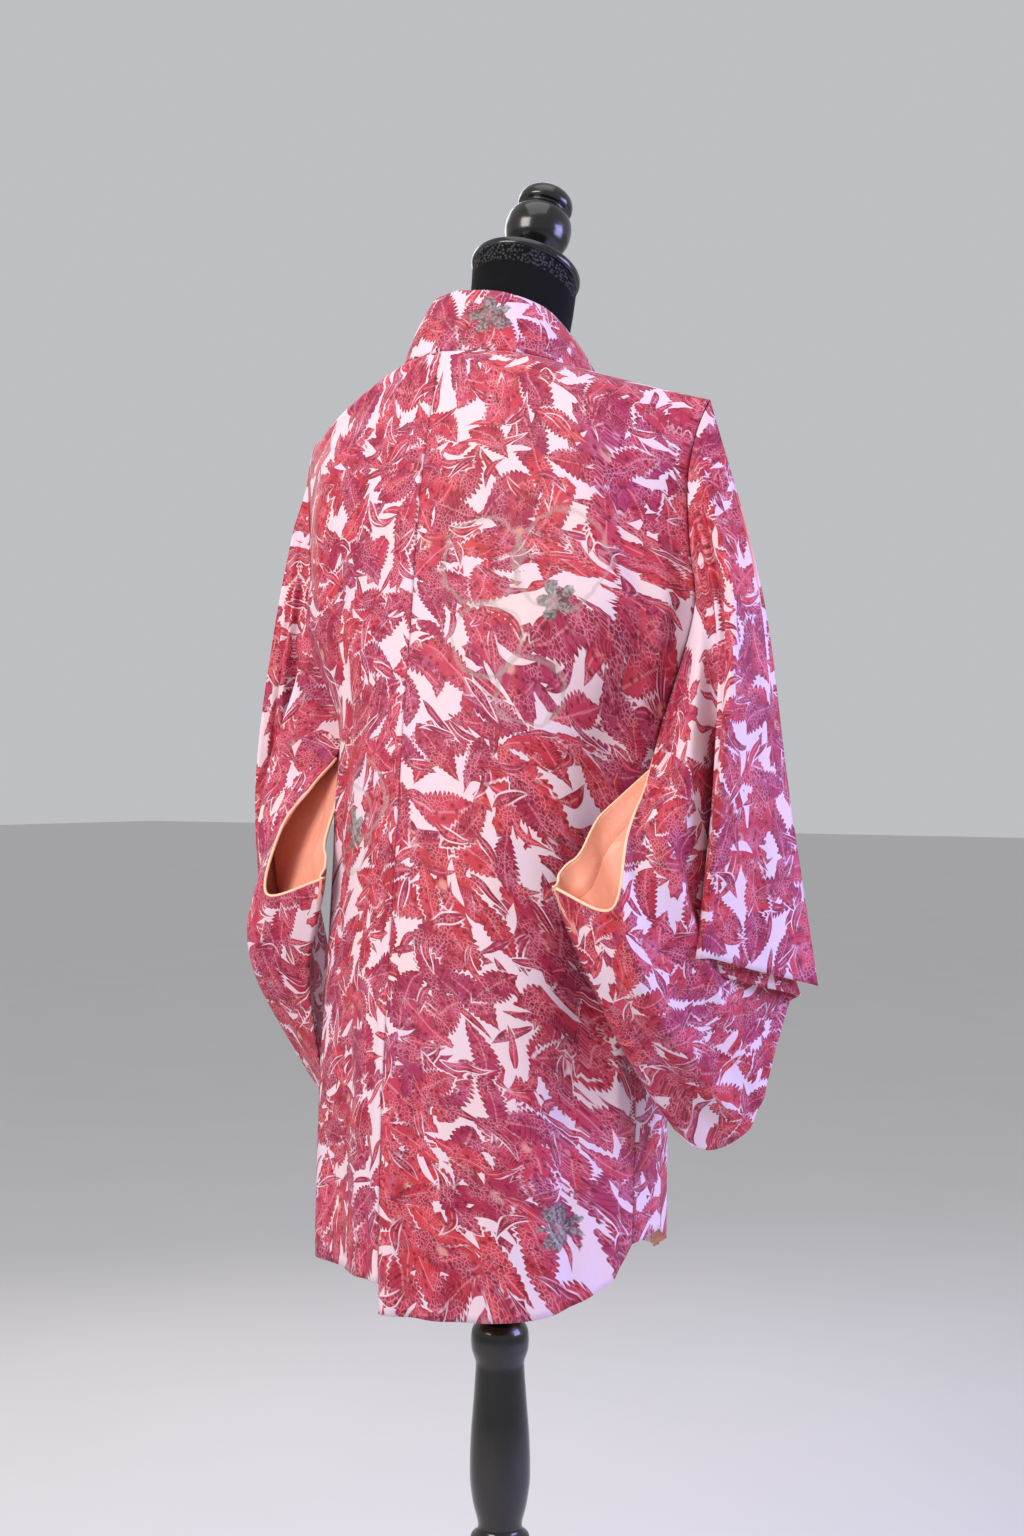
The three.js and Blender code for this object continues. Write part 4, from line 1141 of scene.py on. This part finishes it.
class HAORI_OT_form(Operator):
    """Build the velvet form, its neck band, the cap and the finial."""

    bl_idname = "haori.form"
    bl_label = "Dress form"

    def execute(self, context):
        form = context.scene.haori_form
        torso = closed_ring_mesh("form_body", form_grid(form.around), black_velvet(form))
        seat(torso, "form_torso")
        for node, profile in (("neck_cap", CAP_PROFILE), ("finial", FINIAL_PROFILE)):
            grid = on_neck(turned_grid(profile, form.around))
            seat(closed_ring_mesh("form_" + node, grid, black_wood(form)), node)
        return {"FINISHED"}


class HAORI_OT_stand(Operator):
    """Turn the post and the foot."""

    bl_idname = "haori.stand"
    bl_label = "Stand"

    def execute(self, context):
        form = context.scene.haori_form
        for node, profile in (("post", POST_PROFILE), ("foot", FOOT_PROFILE)):
            grid = turned_grid(profile, form.around)
            seat(closed_ring_mesh("stand_" + node, grid, black_wood(form)), node)
        return {"FINISHED"}


class HAORI_OT_studio(Operator):
    """Lay the pale floor and set the soft lights and the camera."""

    bl_idname = "haori.studio"
    bl_label = "Studio"

    def execute(self, context):
        scene = context.scene
        studio = scene.haori_studio
        bpy.ops.mesh.primitive_plane_add(size=60.0)
        floor = context.object
        floor.name = "studio_floor"
        floor.data.materials.append(pale_floor())

        scene.world = bpy.data.worlds.new("Studio")
        scene.world.use_nodes = True
        sky = scene.world.node_tree.nodes["Background"]
        sky.inputs[0].default_value = (0.86, 0.87, 0.90, 1.0)
        sky.inputs[1].default_value = studio.world
        scene.view_settings.view_transform = "Standard"

        turn = math.radians(studio.turn)
        away = Vector((-math.sin(turn), math.cos(turn), 0.0))
        right = Vector((-math.cos(turn), -math.sin(turn), 0.0))
        aim = Vector((0.0, 0.0, 1.05))
        for name, back, aside, up, size, colour in LAMPS:
            lamp = bpy.data.lights.new("studio_" + name, "AREA")
            lamp.size, lamp.energy, lamp.color = size, getattr(studio, name), colour
            place = away * back + right * aside + Vector((0, 0, up))
            set_up(lamp, place, aim - place)

        view = bpy.data.cameras.new("studio_camera")
        view.lens, view.sensor_width = studio.lens, 36.0
        place = away * studio.distance + Vector((0, 0, studio.height)) + right * studio.aside
        scene.camera = set_up(view, place, -away)
        return {"FINISHED"}


class HAORI_PT_sidebar(Panel):
    """Sizes, colours and a button for each operator."""

    bl_idname = "HAORI_PT_sidebar"
    bl_label = "Haori"
    bl_space_type = "VIEW_3D"
    bl_region_type = "UI"
    bl_category = "Haori"

    def draw(self, context):
        for scene_name, group in SETTINGS:
            for key in group.__annotations__:
                self.layout.prop(getattr(context.scene, scene_name), key)
        for operator in OPERATORS:
            self.layout.operator(operator.bl_idname)


SETTINGS = (
    ("haori_cloth", HaoriCloth), ("haori_form", FormSettings), ("haori_studio", StudioSettings),
)
OPERATORS = (
    HAORI_OT_studio, HAORI_OT_body, HAORI_OT_sleeves, HAORI_OT_collar, HAORI_OT_form, HAORI_OT_stand,
)


def register():
    for name, group in SETTINGS:
        bpy.utils.register_class(group)
        setattr(bpy.types.Scene, name, PointerProperty(type=group))
    for thing in (*OPERATORS, HAORI_PT_sidebar):
        bpy.utils.register_class(thing)


def unregister():
    for thing in (HAORI_PT_sidebar, *reversed(OPERATORS)):
        bpy.utils.unregister_class(thing)
    for name, group in reversed(SETTINGS):
        delattr(bpy.types.Scene, name)
        bpy.utils.unregister_class(group)


def main():
    register()
    for operator in OPERATORS:
        module, action = operator.bl_idname.split(".")
        getattr(getattr(bpy.ops, module), action)()


if __name__ == "__main__":
    main()
